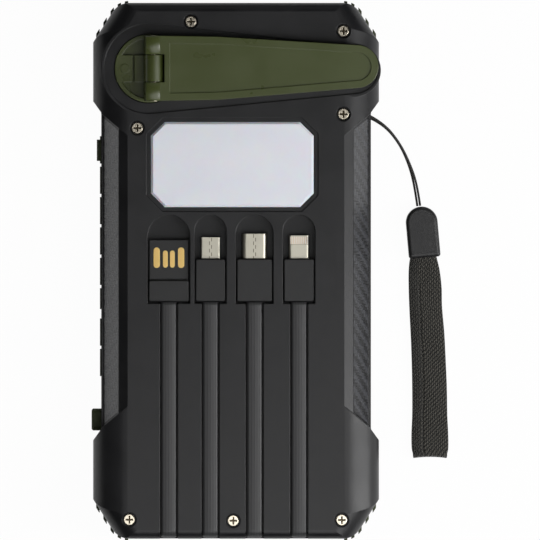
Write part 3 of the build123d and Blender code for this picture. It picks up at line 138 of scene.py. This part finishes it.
class Look:
    """A material and short ways to add its nodes; its places are metres in the part's frame."""

    def __init__(self, name, colour, roughness, metallic=0.0, edge=0.0):
        self.material = bpy.data.materials.new(name)
        self.material.use_nodes = True
        self.nodes = self.material.node_tree.nodes
        self.links = self.material.node_tree.links
        self.shader = self.nodes["Principled BSDF"]
        self.set("Base Color", (*colour, 1.0))
        self.set("Roughness", roughness)
        self.set("Metallic", metallic)
        self.place = self.add("ShaderNodeTexCoord").outputs["Object"]
        self.normal = None
        if edge:
            bevel = self.add("ShaderNodeBevel", samples=6)
            bevel.inputs["Radius"].default_value = edge
            self.normal = bevel.outputs[0]
            self.set("Normal", self.normal)

    def add(self, kind, **settings):
        node = self.nodes.new(kind)
        for name, value in settings.items():
            setattr(node, name, value)
        return node

    def set(self, socket, value):
        """Sets one of the shader's inputs to a value or to another node's output."""
        self.feed(self.shader.inputs[socket], value)

    def feed(self, socket, value):
        if isinstance(value, bpy.types.NodeSocket):
            self.links.new(value, socket)
        else:
            socket.default_value = value

    def maths(self, operation, *values):
        node = self.add("ShaderNodeMath", operation=operation)
        for socket, value in zip(node.inputs, values):
            self.feed(socket, value)
        return node.outputs[0]

    def axes(self, place=None):
        node = self.add("ShaderNodeSeparateXYZ")
        self.feed(node.inputs[0], place or self.place)
        return node.outputs

    def stretched(self, scale, turn=(0, 0, 0)):
        node = self.add("ShaderNodeMapping")
        self.feed(node.inputs["Vector"], self.place)
        node.inputs["Scale"].default_value = scale
        node.inputs["Rotation"].default_value = turn
        return node.outputs[0]

    def noise(self, size, detail=2.0, place=None):
        """Noise from 0 to 1 with features of that size."""
        node = self.add("ShaderNodeTexNoise")
        self.feed(node.inputs["Vector"], place or self.place)
        node.inputs["Scale"].default_value = 1 / size
        node.inputs["Detail"].default_value = detail
        return node.outputs["Fac"]

    def ramp(self, value, low, high, out_low=0.0, out_high=1.0):
        node = self.add("ShaderNodeMapRange", interpolation_type="SMOOTHSTEP")
        for socket, number in zip(node.inputs, (value, low, high, out_low, out_high)):
            self.feed(socket, number)
        return node.outputs[0]

    def mix(self, share, low, high):
        """Colour low at share 0 and high at share 1."""
        node = self.add("ShaderNodeMix", data_type="RGBA")
        self.feed(node.inputs["Factor"], share)
        for socket, colour in ((node.inputs[6], low), (node.inputs[7], high)):
            self.feed(socket, (*colour, 1.0) if isinstance(colour, tuple) else colour)
        return node.outputs[2]

    def bump(self, height, depth):
        """Adds relief of that depth in metres, over the relief that is there."""
        node = self.add("ShaderNodeBump")
        node.inputs["Distance"].default_value = depth
        node.inputs["Strength"].default_value = 1.0
        self.feed(node.inputs["Height"], height)
        if self.normal is not None:
            self.feed(node.inputs["Normal"], self.normal)
        self.normal = node.outputs[0]
        self.set("Normal", self.normal)


    def square(self, value, share):
        """1 at a value of 0, falling by share times its square."""
        squared = self.maths("POWER", self.maths("ABSOLUTE", value), 2.0)
        return self.maths("SUBTRACT", 1.0, self.maths("MULTIPLY", squared, share))

    def choose(self, share, low, high):
        """Number low at share 0 and high at share 1."""
        node = self.add("ShaderNodeMix", data_type="FLOAT")
        for socket, value in zip(node.inputs[0:1] + node.inputs[2:4], (share, low, high)):
            self.feed(socket, value)
        return node.outputs[0]

    def plain_colour(self):
        """The output that colours the shader so far."""
        return self.shader.inputs["Base Color"].links[0].from_socket


def moulded(name, colour, roughness, grain=0.22 * MM, depth=0.010 * MM, change=0.12):
    """Moulded plastic with a fine spark-eroded grain and faint handling marks."""
    look = Look(name, colour, roughness, edge=0.25 * MM)
    patches = look.noise(9 * MM, 3.0)
    pale = tuple(min(1.0, c * (1 + change) + 0.0008) for c in colour)
    dark = tuple(c * (1 - change) for c in colour)
    look.set("Base Color", look.mix(look.ramp(patches, 0.35, 0.65), dark, pale))
    look.set("Roughness", look.ramp(patches, 0.3, 0.7, roughness - 0.03, roughness + 0.04))
    look.bump(look.noise(grain, 2.0), depth)
    return look


def woven_grip():
    """Moulded two-by-two twill: long floats of two cells that step one cell a row."""
    look = Look("grip", linear(62, 64, 69), 0.34)
    x, y, z = look.axes()
    cell_height, cell_length = 1.16 * MM, 0.94 * MM
    dome = 3.2
    across = look.maths("DIVIDE", z, cell_height)
    along = look.maths("DIVIDE", y, cell_length)
    step = look.maths("SUBTRACT", look.maths("FLOOR", across), look.maths("FLOOR", along))
    upright = look.maths("LESS_THAN", look.maths("FLOORED_MODULO", step, 4.0), 1.5)
    # each float bulges across its own width
    side = look.maths("SUBTRACT", look.maths("FRACT", across), 0.5)
    end = look.maths("SUBTRACT", look.maths("FRACT", along), 0.5)
    bulge = look.choose(upright, look.square(end, dome), look.square(side, dome))
    strands = look.noise(0.18 * MM, 2.0, look.stretched((1, 1, 0.25)))
    colour = look.mix(upright, linear(20, 20, 23), linear(52, 53, 58))
    shade = look.maths("MULTIPLY", strands, 0.35)
    look.set("Base Color", look.mix(shade, colour, linear(30, 31, 34)))
    look.bump(bulge, 0.10 * MM)
    look.set("Coat Weight", 0.3)
    look.set("Coat Roughness", 0.22)
    return look


def rubber_green():
    """Olive rubber, rougher than the crank."""
    look = moulded(
        "bumper", linear(50, 58, 26), 0.6, grain=0.3 * MM, depth=0.012 * MM, change=0.16
    )
    look.set("Sheen Weight", 0.12)
    return look


def crank_green():
    """Olive plastic with a fine satin grain."""
    look = moulded(
        "crank", linear(66, 74, 34), 0.3, grain=0.45 * MM, depth=0.002 * MM, change=0.03
    )
    look.set("Specular IOR Level", 0.6)
    return look


def diffuser():
    """Milky polycarbonate with a faint unevenness."""
    look = Look("lens", linear(241, 243, 255), 0.28)
    cloud = look.ramp(look.noise(14 * MM, 1.0), 0.3, 0.7)
    look.set("Base Color", look.mix(cloud, linear(240, 242, 254), linear(243, 245, 255)))
    look.set("Subsurface Weight", 0.25)
    look.set("Subsurface Scale", 1.2 * MM)
    look.set("Coat Weight", 0.3)
    look.set("Coat Roughness", 0.12)
    look.bump(look.noise(0.5 * MM), 0.004 * MM)
    return look


def plated(name, colour, roughness):
    """Plated or polished metal with faint rubbing marks."""
    look = Look(name, colour, roughness, 1.0, edge=0.12 * MM)
    marks = look.noise(0.6 * MM, 3.0, look.stretched((1.0, 0.25, 1.0), (0, 0, 0.5)))
    look.set("Roughness", look.ramp(marks, 0.3, 0.7, roughness * 0.85, roughness * 1.2))
    dull = tuple(c * 0.93 for c in colour)
    look.set("Base Color", look.mix(look.noise(2.5 * MM, 2.0), dull, colour))
    look.bump(marks, 0.0012 * MM)
    return look


def recessed_screw(name):
    """Nickel screw with painted shade in its driver recess, darker the deeper it goes."""
    look = plated("screw_" + name, linear(236, 226, 206), 0.26)
    _, _, z = look.axes()
    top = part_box(name)[1].z
    # painted shade: the colour darkens from the screw's top down into the recess
    shade = look.ramp(z, top - 0.40 * MM, top - 0.05 * MM, 1.0, 0.0)
    look.set("Base Color", look.mix(shade, look.plain_colour(), linear(70, 62, 48)))
    return look


def folded_shell():
    """Plug shells bent from sheet, with the jagged joint down their middle."""
    look = plated("plug_metal", linear(206, 202, 187), 0.34)
    x, y, z = look.axes()
    jag_pitch, jag_reach, line_half = 2.1 * MM, 0.31 * MM, 0.09 * MM
    beat = look.maths("LESS_THAN", look.maths("FRACT", look.maths("DIVIDE", y, jag_pitch)), 0.5)
    jag = look.maths("SUBTRACT", look.maths("MULTIPLY", beat, 2 * jag_reach), jag_reach)
    joint = None
    for name in ("micro_usb", "type_c"):
        low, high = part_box(name + "_plug_metal")
        off = look.maths("SUBTRACT", look.maths("SUBTRACT", x, (low.x + high.x) / 2), jag)
        line = look.maths("LESS_THAN", look.maths("ABSOLUTE", off), line_half)
        joint = line if joint is None else look.maths("MAXIMUM", joint, line)
    top = look.maths("GREATER_THAN", z, (low.z + high.z) / 2)
    joint = look.maths("MULTIPLY", joint, top)
    look.set("Base Color", look.mix(joint, look.plain_colour(), linear(96, 90, 74)))
    return look


def contact_tab():
    """Slim plug tab: metal, with a pale insulating field under eight small contacts."""
    look = plated("contact_tab", linear(206, 202, 187), 0.34)
    x, y, _ = look.axes()
    low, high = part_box("lightning_plug_metal")
    pitch = 0.62 * MM
    beside = look.maths("SUBTRACT", x, (low.x + high.x) / 2)
    field = look.maths(
        "MULTIPLY",
        look.maths("GREATER_THAN", y, high.y - 2.5 * MM),
        look.maths("LESS_THAN", y, high.y - 0.35 * MM),
    )
    inner = look.maths("LESS_THAN", look.maths("ABSOLUTE", beside), 2.55 * MM)
    field = look.maths("MULTIPLY", field, inner)
    step = look.maths("FRACT", look.maths("DIVIDE", beside, pitch))
    off = look.maths("ABSOLUTE", look.maths("SUBTRACT", step, 0.5))
    contact = look.maths("MULTIPLY", look.maths("LESS_THAN", off, 0.3), field)
    ahead = look.maths("ABSOLUTE", look.maths("SUBTRACT", y, high.y - 2.6 * MM))
    edge = look.maths("LESS_THAN", ahead, 0.09 * MM)
    pale = look.mix(field, look.plain_colour(), linear(236, 232, 224))
    golden = look.mix(look.maths("MULTIPLY", contact, 0.5), pale, linear(222, 186, 134))
    shade = look.maths("MULTIPLY", edge, 0.6)
    look.set("Base Color", look.mix(shade, golden, linear(120, 114, 100)))
    look.set("Metallic", look.maths("SUBTRACT", 1.0, field))
    return look


def ribbed_lead():
    """Flat cable sheath with faint lengthwise lines."""
    look = Look("cable", linear(50, 50, 51), 0.42)
    line_pitch = 0.8 * MM
    u, _, _ = look.axes(look.add("ShaderNodeUVMap", uv_map="lead").outputs[0])
    wave = look.maths("SINE", look.maths("MULTIPLY", u, 2 * pi / line_pitch))
    lines = look.ramp(wave, -1.0, 1.0)
    drift = look.noise(0.5 * MM, 2.0, look.stretched((1.0, 0.02, 1.0)))
    share = look.maths("MULTIPLY", look.maths("ADD", lines, drift), 0.5)
    look.set("Base Color", look.mix(share, linear(42, 42, 43), linear(58, 58, 59)))
    look.bump(lines, 0.012 * MM)
    look.bump(drift, 0.02 * MM)
    return look


def printed_board():
    """Green solder mask with darker tracks."""
    look = Look("board", linear(28, 74, 42), 0.35)
    x, y, _ = look.axes()
    track_pitch = 1.8 * MM
    wave = look.maths("SINE", look.maths("MULTIPLY", look.maths("ADD", x, y), 2 * pi / track_pitch))
    tracks = look.ramp(wave, 0.55, 0.75)
    look.set("Base Color", look.mix(tracks, linear(22, 62, 36), linear(40, 96, 54)))
    look.bump(tracks, 0.02 * MM)
    return look


def phosphor():
    """Yellow phosphor over the lamps."""
    look = Look("led", linear(232, 214, 130), 0.4)
    grains = look.noise(0.6 * MM)
    look.set("Base Color", look.mix(grains, linear(222, 200, 112), linear(240, 226, 150)))
    return look


def pouch_foil():
    """Aluminium pouch, slightly creased."""
    look = Look("cell", linear(176, 178, 182), 0.38, 0.9)
    look.bump(look.noise(5 * MM, 4.0), 0.15 * MM)
    return look


def foam_tape():
    """Grey open foam."""
    look = Look("foam", linear(60, 60, 60), 0.9)
    look.bump(look.noise(0.5 * MM, 3.0), 0.08 * MM)
    return look


def solar_cells():
    """Dark cells in two columns, with fine fingers, two bus bars a cell and pale gaps."""
    look = Look("solar", linear(16, 20, 40), 0.16)
    x, y, _ = look.axes()

    def stripe(value, pitch, width, start=0.0):
        shifted = look.maths("SUBTRACT", value, start)
        place = look.maths("FRACT", look.maths("DIVIDE", shifted, pitch))
        return look.maths("LESS_THAN", place, width / pitch)

    gap = look.maths(
        "MAXIMUM",
        stripe(x, 28.5 * MM, 0.9 * MM, -0.45 * MM),
        stripe(y, 13.0 * MM, 0.9 * MM, 3.6 * MM),
    )
    fingers = stripe(y, 1.3 * MM, 0.14 * MM)
    bars = stripe(x, 9.5 * MM, 0.5 * MM, 4.5 * MM)
    silver = look.maths("MAXIMUM", fingers, bars)
    crystal = look.noise(7 * MM, 1.0)
    cells = look.mix(crystal, linear(12, 16, 34), linear(24, 30, 62))
    lined = look.mix(silver, cells, linear(120, 124, 132))
    look.set("Base Color", look.mix(gap, lined, linear(34, 36, 42)))
    look.set("Coat Weight", 1.0)
    look.set("Coat Roughness", 0.06)
    return look


def acetal():
    """Off-white moulded gears."""
    look = Look("gear", linear(220, 216, 204), 0.38)
    look.bump(look.noise(0.4 * MM), 0.004 * MM)
    return look


def webbing():
    """Woven strap: columns of stitches, chevrons near the cap and slants further down."""
    look = Look("webbing", linear(34, 32, 30), 0.85)
    u, v, _ = look.axes(look.add("ShaderNodeUVMap", uv_map="strap").outputs[0])
    column = 0.60 * MM
    stitch = 1.20 * MM
    wander = look.ramp(look.noise(6 * MM), 0.3, 0.7, 0, 0.4 * MM)
    count = look.maths("DIVIDE", look.maths("ADD", u, wander), column)
    number = look.maths("FLOOR", count)
    odd = look.maths("FLOORED_MODULO", number, 2.0)
    beside = look.maths("SUBTRACT", look.maths("FRACT", count), 0.5)
    # the crease down the strap keeps its chevrons all the way
    chevron = look.maths("SUBTRACT", look.maths("MULTIPLY", odd, 2.0), 1.0)
    in_fold = look.ramp(u, 2.2 * MM, 3.0 * MM, 1.0, 0.0)
    down = look.ramp(v, 20 * MM, 34 * MM)
    slanted = look.maths("MULTIPLY", down, look.maths("SUBTRACT", 1.0, in_fold))
    lean = look.choose(slanted, chevron, 0.9)
    shift = look.maths("MULTIPLY", look.maths("MULTIPLY", beside, lean), 0.55)
    shift = look.maths("ADD", shift, look.maths("MULTIPLY", odd, 0.5))
    rows = look.maths("ADD", look.maths("DIVIDE", v, stitch), shift)
    ahead = look.maths("SUBTRACT", look.maths("FRACT", rows), 0.5)
    wide = look.maths("MULTIPLY", look.maths("POWER", look.maths("ABSOLUTE", beside), 2.0), 3.6)
    long = look.maths("MULTIPLY", look.maths("POWER", look.maths("ABSOLUTE", ahead), 2.0), 4.6)
    dome = look.maths("SUBTRACT", 1.0, look.maths("ADD", wide, long))
    stitch_height = look.maths("MAXIMUM", dome, 0.0)
    fuzz = look.noise(0.14 * MM, 3.0)
    # painted light and shade of the stitch relief: pale on each stitch's dome, near black in the
    # gaps between them
    stitch_painted_light_and_shade = look.mix(stitch_height, linear(8, 8, 7), linear(82, 79, 71))
    # painted shade in the crease along the strap's folded edge
    shaded = look.mix(look.maths("MULTIPLY", in_fold, 0.5), stitch_painted_light_and_shade, linear(20, 20, 18))
    look.set("Base Color", look.mix(look.maths("MULTIPLY", fuzz, 0.35), shaded, linear(26, 25, 23)))
    look.bump(stitch_height, 0.22 * MM)
    look.bump(fuzz, 0.03 * MM)
    look.set("Sheen Weight", 0.2)
    look.set("Sheen Roughness", 0.5)
    return look


def braided_cord():
    """Thin black cord with slanting strands."""
    look = Look("cord", linear(24, 23, 22), 0.7)
    turn = look.add("ShaderNodeTexWave", wave_type="BANDS", bands_direction="DIAGONAL")
    look.feed(turn.inputs["Vector"], look.place)
    turn.inputs["Scale"].default_value = 1 / (0.9 * MM)
    turn.inputs["Distortion"].default_value = 1.5
    look.set("Base Color", look.mix(turn.outputs["Fac"], linear(12, 12, 11), linear(46, 44, 41)))
    look.bump(turn.outputs["Fac"], 0.06 * MM)
    return look


shell_look = moulded("shell", linear(20, 20, 22), 0.36)
shell_look.set("Specular IOR Level", 0.42)
frame_look = moulded("frame", linear(21, 21, 22), 0.4, change=0.08)
looks = {
    "shell": shell_look,
    "grip": woven_grip(),
    "bumper": rubber_green(),
    "crank": crank_green(),
    "lens": diffuser(),
    "steel": plated("steel", linear(226, 216, 196), 0.3),
    "brass": plated("brass", linear(206, 160, 92), 0.32),
    "gold": plated("gold", linear(240, 204, 128), 0.34),
    "plug_metal": folded_shell(),
    "cable": ribbed_lead(),
    "board": printed_board(),
    "led": phosphor(),
    "cell": pouch_foil(),
    "foam": foam_tape(),
    "solar": solar_cells(),
    "gear": acetal(),
    "frame": frame_look,
    "webbing": webbing(),
}
cord_look = braided_cord()
grip_plug_look = moulded("plug_grip", linear(23, 23, 24), 0.44, change=0.08)


def dress(piece, look):
    piece.data.materials.clear()
    piece.data.materials.append(look.material)


slot_of_node = {part["node"]: part["material_slot"] for part in frame["record"]["subparts"]}
for name, node in nodes.items():
    dress(node, looks[slot_of_node[name]])
for name in plug_names:
    dress(nodes[name + "_plug_grip"], grip_plug_look)
dress(nodes["lightning_plug_metal"], contact_tab())
dress(nodes["usb_a_plug_metal"], grip_plug_look)
dress(nodes["case_screws"], recessed_screw("case_screws"))
dress(nodes["knob_screw"], recessed_screw("knob_screw"))


def add_piece(name, data, body, look):
    """Puts a mesh or curve into the scene on its body, in its material."""
    piece = bpy.data.objects.new(name, data)
    bpy.context.scene.collection.objects.link(piece)
    dress(piece, look)
    if body:
        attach(piece, body)
    return piece


# ---------------------------------------------------------------- lanyard
def lanyard():
    """The loop's two legs, each a soft strand along the part's own route."""
    for name, route in lanyard_routes.items():
        curve = bpy.data.curves.new(name + "_line", "CURVE")
        curve.dimensions = "3D"
        spline = curve.splines.new("NURBS")
        spline.points.add(len(route) - 1)
        for point, place in zip(spline.points, route):
            point.co = (*(value * MM for value in place), 1.0)
        spline.order_u = 3
        spline.use_endpoint_u = True
        spline.resolution_u = 10
        curve.bevel_depth = cord_radius
        curve.bevel_resolution = 5
        strand = add_piece(name + "_soft", curve, "case", cord_look)
        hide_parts(name)


def grid_mesh(name, rows, uv_name=None, uvs=None):
    """A mesh of quads through rows of points, with as many points in each row."""
    mesh = bpy.data.meshes.new(name)
    count = len(rows[0])
    faces = [
        (r * count + c, r * count + c + 1, (r + 1) * count + c + 1, (r + 1) * count + c)
        for r in range(len(rows) - 1)
        for c in range(count - 1)
    ]
    mesh.from_pydata([point for row in rows for point in row], [], faces)
    if uv_name:
        flat = [place for row in uvs for place in row]
        layer = mesh.uv_layers.new(name=uv_name)
        for loop in mesh.loops:
            layer.data[loop.index].uv = flat[loop.vertex_index]
    mesh.polygons.foreach_set("use_smooth", [True] * len(mesh.polygons))
    mesh.update()
    return mesh


def between(table, place):
    """The table's other columns at a place in its falling first column, on a smooth curve."""
    last = len(table) - 2
    i = next((k for k in range(last) if place > table[k + 1][0]), last)
    a, b = table[max(i - 1, 0)], table[min(i + 2, last + 1)]
    p, q = table[i], table[i + 1]
    t = (p[0] - place) / (p[0] - q[0])
    out = []
    for k in range(1, len(p)):
        rise_p = (q[k] - a[k]) / (q[0] - a[0]) * (q[0] - p[0])
        rise_q = (b[k] - p[k]) / (b[0] - p[0]) * (q[0] - p[0])
        near = (2 * t**3 - 3 * t**2 + 1) * p[k] + (t**3 - 2 * t**2 + t) * rise_p
        out.append(near + (3 * t**2 - 2 * t**3) * q[k] + (t**3 - t**2) * rise_q)
    return out


def strap():
    """One woven strip that leaves the cap, runs down, folds over and comes back beneath."""
    columns = 30
    steps = 120
    fold_steps = 9
    top, foot = strap_edges[0][0], strap_edges[-1][0]
    fold = (strap_layer + strap_gap) / 2
    lower = strap_layer / 2 + strap_lift
    upper = lower + 2 * fold
    # place along the strap, height, and share of the crown
    line = [(top + (foot - top) * i / steps, upper, 1.0) for i in range(steps + 1)]
    for i in range(1, fold_steps):
        angle = pi / 2 - pi * i / fold_steps
        height = lower + fold + sin(angle) * fold
        line.append((foot - cos(angle) * fold / MM, height, 0.5 + 0.5 * sin(angle)))
    line += [(foot + (top - foot) * i / steps, lower, 0.0) for i in range(steps + 1)]
    rows, uvs, length, before = [], [], 0.0, None
    for y, height, crowned in line:
        left, right = (value * MM for value in between(strap_edges, max(y, foot)))
        middle, width = (left + right) / 2, right - left
        place = Vector((middle, y * MM, height))
        length += (place - before).length if before else 0.0
        before = place
        row, uv_row = [], []
        for c in range(columns + 1):
            across = c / columns - 0.5
            crown = strap_crown * (1 - (2 * across) ** 4)
            dip = strap_dip * max(0.0, 1 - abs(across + 0.2) / 0.07)
            dip *= min(1.0, max(0.0, (4 - y) / 12))
            ripple = strap_ripple * sin(y / 3.1 + 5 * across)
            hollow = strap_foot_hollow * (1 - (2 * across) ** 2) if y < foot + 4 else 0.0
            hollow *= min(1.0, (foot + 4 - y) / 4)
            relief = crowned * (crown - dip + ripple)
            row.append((middle + across * width, y * MM + hollow, height + relief))
            uv_row.append(((across + 0.5) * width, length))
        rows.append(row)
        uvs.append(uv_row)
    mesh = grid_mesh("strap", rows, "strap", uvs)
    piece = add_piece("lanyard_strap_woven", mesh, "case", looks["webbing"])
    thicken = piece.modifiers.new("thickness", "SOLIDIFY")
    thicken.thickness = strap_layer
    thicken.offset = 0.0
    rounded = piece.modifiers.new("edge", "BEVEL")
    rounded.width = 0.3 * MM
    rounded.segments = 3
    rounded.limit_method = "ANGLE"
    rounded.angle_limit = radians(50)
    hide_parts("lanyard_strap")


# ---------------------------------------------------------------- captive leads
def lead_section():
    """Points round the flat lead's section with half-round edges, as (across, up)."""
    half = lead_width / 2 - lead_thickness / 2
    points = []
    for side in (1, -1):
        for i in range(7):
            angle = side * pi / 2 - pi * i / 6
            points.append(
                (side * half + cos(angle) * lead_thickness / 2, sin(angle) * lead_thickness / 2)
            )
    return points


def captive_leads():
    """Each lead as one ribbon: along its groove, over the case's edge and in at the end."""
    section = lead_section()
    run_steps, bend_steps, drop_steps = 70, 8, 4
    for name in plug_names:
        low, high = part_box(name + "_lead_root")
        lead_low, lead_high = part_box(name + "_lead")
        middle_x = (low.x + high.x) / 2
        top = high.z - lead_thickness / 2
        end_y = low.y + lead_thickness / 2
        exit_z = low.z + lead_thickness / 2
        bend = lead_bend
        # place along, height, and how far the lead has turned
        run_start = lead_high.y - 0.02 * MM
        run_end = end_y + bend
        path = [
            (run_start + (run_end - run_start) * i / run_steps, top, 0.0)
            for i in range(run_steps + 1)
        ]
        for i in range(1, bend_steps + 1):
            angle = pi / 2 * i / bend_steps
            path.append((end_y + bend - sin(angle) * bend, top - bend + cos(angle) * bend, angle))
        for i in range(1, drop_steps):
            height = top - bend + (exit_z + bend - top + bend) * i / drop_steps
            path.append((end_y, height, pi / 2))
        for i in range(bend_steps + 1):
            angle = pi / 2 * i / bend_steps
            place = end_y + bend - cos(angle) * bend
            path.append((place, exit_z + bend - sin(angle) * bend, pi / 2 + angle))
        path.append((low.y + lead_inner_reach, exit_z, pi))
        rows, uvs, length, before = [], [], 0.0, None
        for y, z, turn in path:
            length += (Vector((y, z)) - before).length if before else 0.0
            before = Vector((y, z))
            row, uv_row = [], []
            for across, up in section + section[:1]:
                row.append((middle_x + across, y - sin(turn) * up, z + cos(turn) * up))
                uv_row.append((across, length))
            rows.append(row)
            uvs.append(uv_row)
        mesh = grid_mesh(name + "_lead_mesh", rows, "lead", uvs)
        close_tube(mesh)
        piece = add_piece(name + "_ribbon", mesh, None, looks["cable"])
        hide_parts(name + "_lead", name + "_lead_root")
        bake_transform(piece)


def close_tube(mesh):
    """Merges the seam of a swept section and caps both ends."""
    shape = bmesh.new()
    shape.from_mesh(mesh)
    bmesh.ops.remove_doubles(shape, verts=shape.verts, dist=0.0001 * MM)
    bmesh.ops.holes_fill(shape, edges=[edge for edge in shape.edges if edge.is_boundary])
    bmesh.ops.recalc_face_normals(shape, faces=shape.faces)
    shape.to_mesh(mesh)
    shape.free()


# ---------------------------------------------------------------- crank
def arm_barrels():
    """The arm's root swells round its pin, on both sides of the hub's knuckle."""
    pin_low, pin_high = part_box("hinge_pin")
    arm_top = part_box("crank_arm")[1].z
    pin_x, pin_y = (pin_low.x + pin_high.x) / 2, (pin_low.y + pin_high.y) / 2
    middle_x = pin_x - 0.3 * MM
    reach = 2.9 * MM                  # half the barrel's full width
    part = 0.72                       # how much of that width shows
    swell = 0.28 * MM
    drop = 1.0 * MM
    sunk = 0.6 * MM
    inner, outer = 4.0 * MM, 9.15 * MM
    end_inset = 0.2 * MM
    count = 24
    for name, side in (("left", 1), ("right", -1)):
        rows = []
        for along in (inner, inner + 0.15 * MM, outer - 0.25 * MM, outer):
            inset = end_inset if along in (inner, outer) else 0.0
            row = []
            for i in range(count + 1):
                u = part * (2 * i / count - 1)
                height = arm_top + swell - inset - drop * (1 - (1 - u * u) ** 0.5)
                row.append((middle_x + u * reach, pin_y + side * along, height))
            row.append((row[-1][0], row[-1][1], arm_top - sunk))
            row.append((row[0][0], row[0][1], arm_top - sunk))
            row.append(row[0])
            rows.append(row)
        mesh = grid_mesh("barrel", rows)
        close_tube(mesh)
        add_piece("arm_barrel_" + name, mesh, "arm", looks["crank"])


# ---------------------------------------------------------------- studio
def studio():
    """White floor and world for the camera, dim for the rest, under four soft lamps."""
    ends = (-6, 6)
    floor_mesh = grid_mesh("floor", [[(x, y, 0.0) for x in ends] for y in ends])
    floor = bpy.data.objects.new("floor", floor_mesh)
    bpy.context.scene.collection.objects.link(floor)
    floor.location.z = -0.02 * MM
    look = Look("floor", (0.86, 0.86, 0.86), 0.6)
    rays = look.add("ShaderNodeLightPath")
    glow = look.add("ShaderNodeEmission")
    mixed = look.add("ShaderNodeMixShader")
    seen = look.maths(
        "MAXIMUM",
        look.maths("MULTIPLY", rays.outputs["Is Camera Ray"], 0.97),
        look.maths("MULTIPLY", rays.outputs["Is Glossy Ray"], 0.45),
    )
    look.feed(mixed.inputs[0], seen)
    look.links.new(look.shader.outputs[0], mixed.inputs[1])
    look.links.new(glow.outputs[0], mixed.inputs[2])
    look.links.new(mixed.outputs[0], look.nodes["Material Output"].inputs["Surface"])
    floor.data.materials.append(look.material)

    world = bpy.data.worlds.new("world")
    bpy.context.scene.world = world
    world.use_nodes = True
    tree = world.node_tree
    background = tree.nodes["Background"]
    rays = tree.nodes.new("ShaderNodeLightPath")
    level = tree.nodes.new("ShaderNodeMapRange")
    level.inputs["To Min"].default_value = 0.05
    level.inputs["To Max"].default_value = 1.0
    tree.links.new(rays.outputs["Is Camera Ray"], level.inputs["Value"])
    tree.links.new(level.outputs[0], background.inputs["Strength"])
    background.inputs["Color"].default_value = (1, 1, 1, 1)

    lamps = [
        # name, place, aimed at, width, height, watts
        ("key", (0.50, -0.12, 0.36), (0.02, -0.01, 0.02), 0.20, 0.7, 3.3),
        ("left", (-0.50, -0.15, 0.40), (0.0, 0.0, 0.02), 0.10, 0.7, 0.10),
        ("overhead", (0.14, -0.22, 0.62), (0.02, 0.0, 0.02), 0.5, 0.5, 1.6),
        ("head", (0.10, 0.55, 0.40), (0.0, 0.05, 0.02), 0.5, 0.2, 0.15),
    ]
    for name, place, target, width, height, watts in lamps:
        data = bpy.data.lights.new(name, "AREA")
        data.shape = "RECTANGLE"
        data.size = width
        data.size_y = height
        data.energy = watts
        lamp = bpy.data.objects.new(name, data)
        lamp.location = place
        lamp.rotation_euler = (Vector(place) - Vector(target)).to_track_quat("Z", "Y").to_euler()
        bpy.context.scene.collection.objects.link(lamp)


lanyard()
strap()
captive_leads()
arm_barrels()
studio()
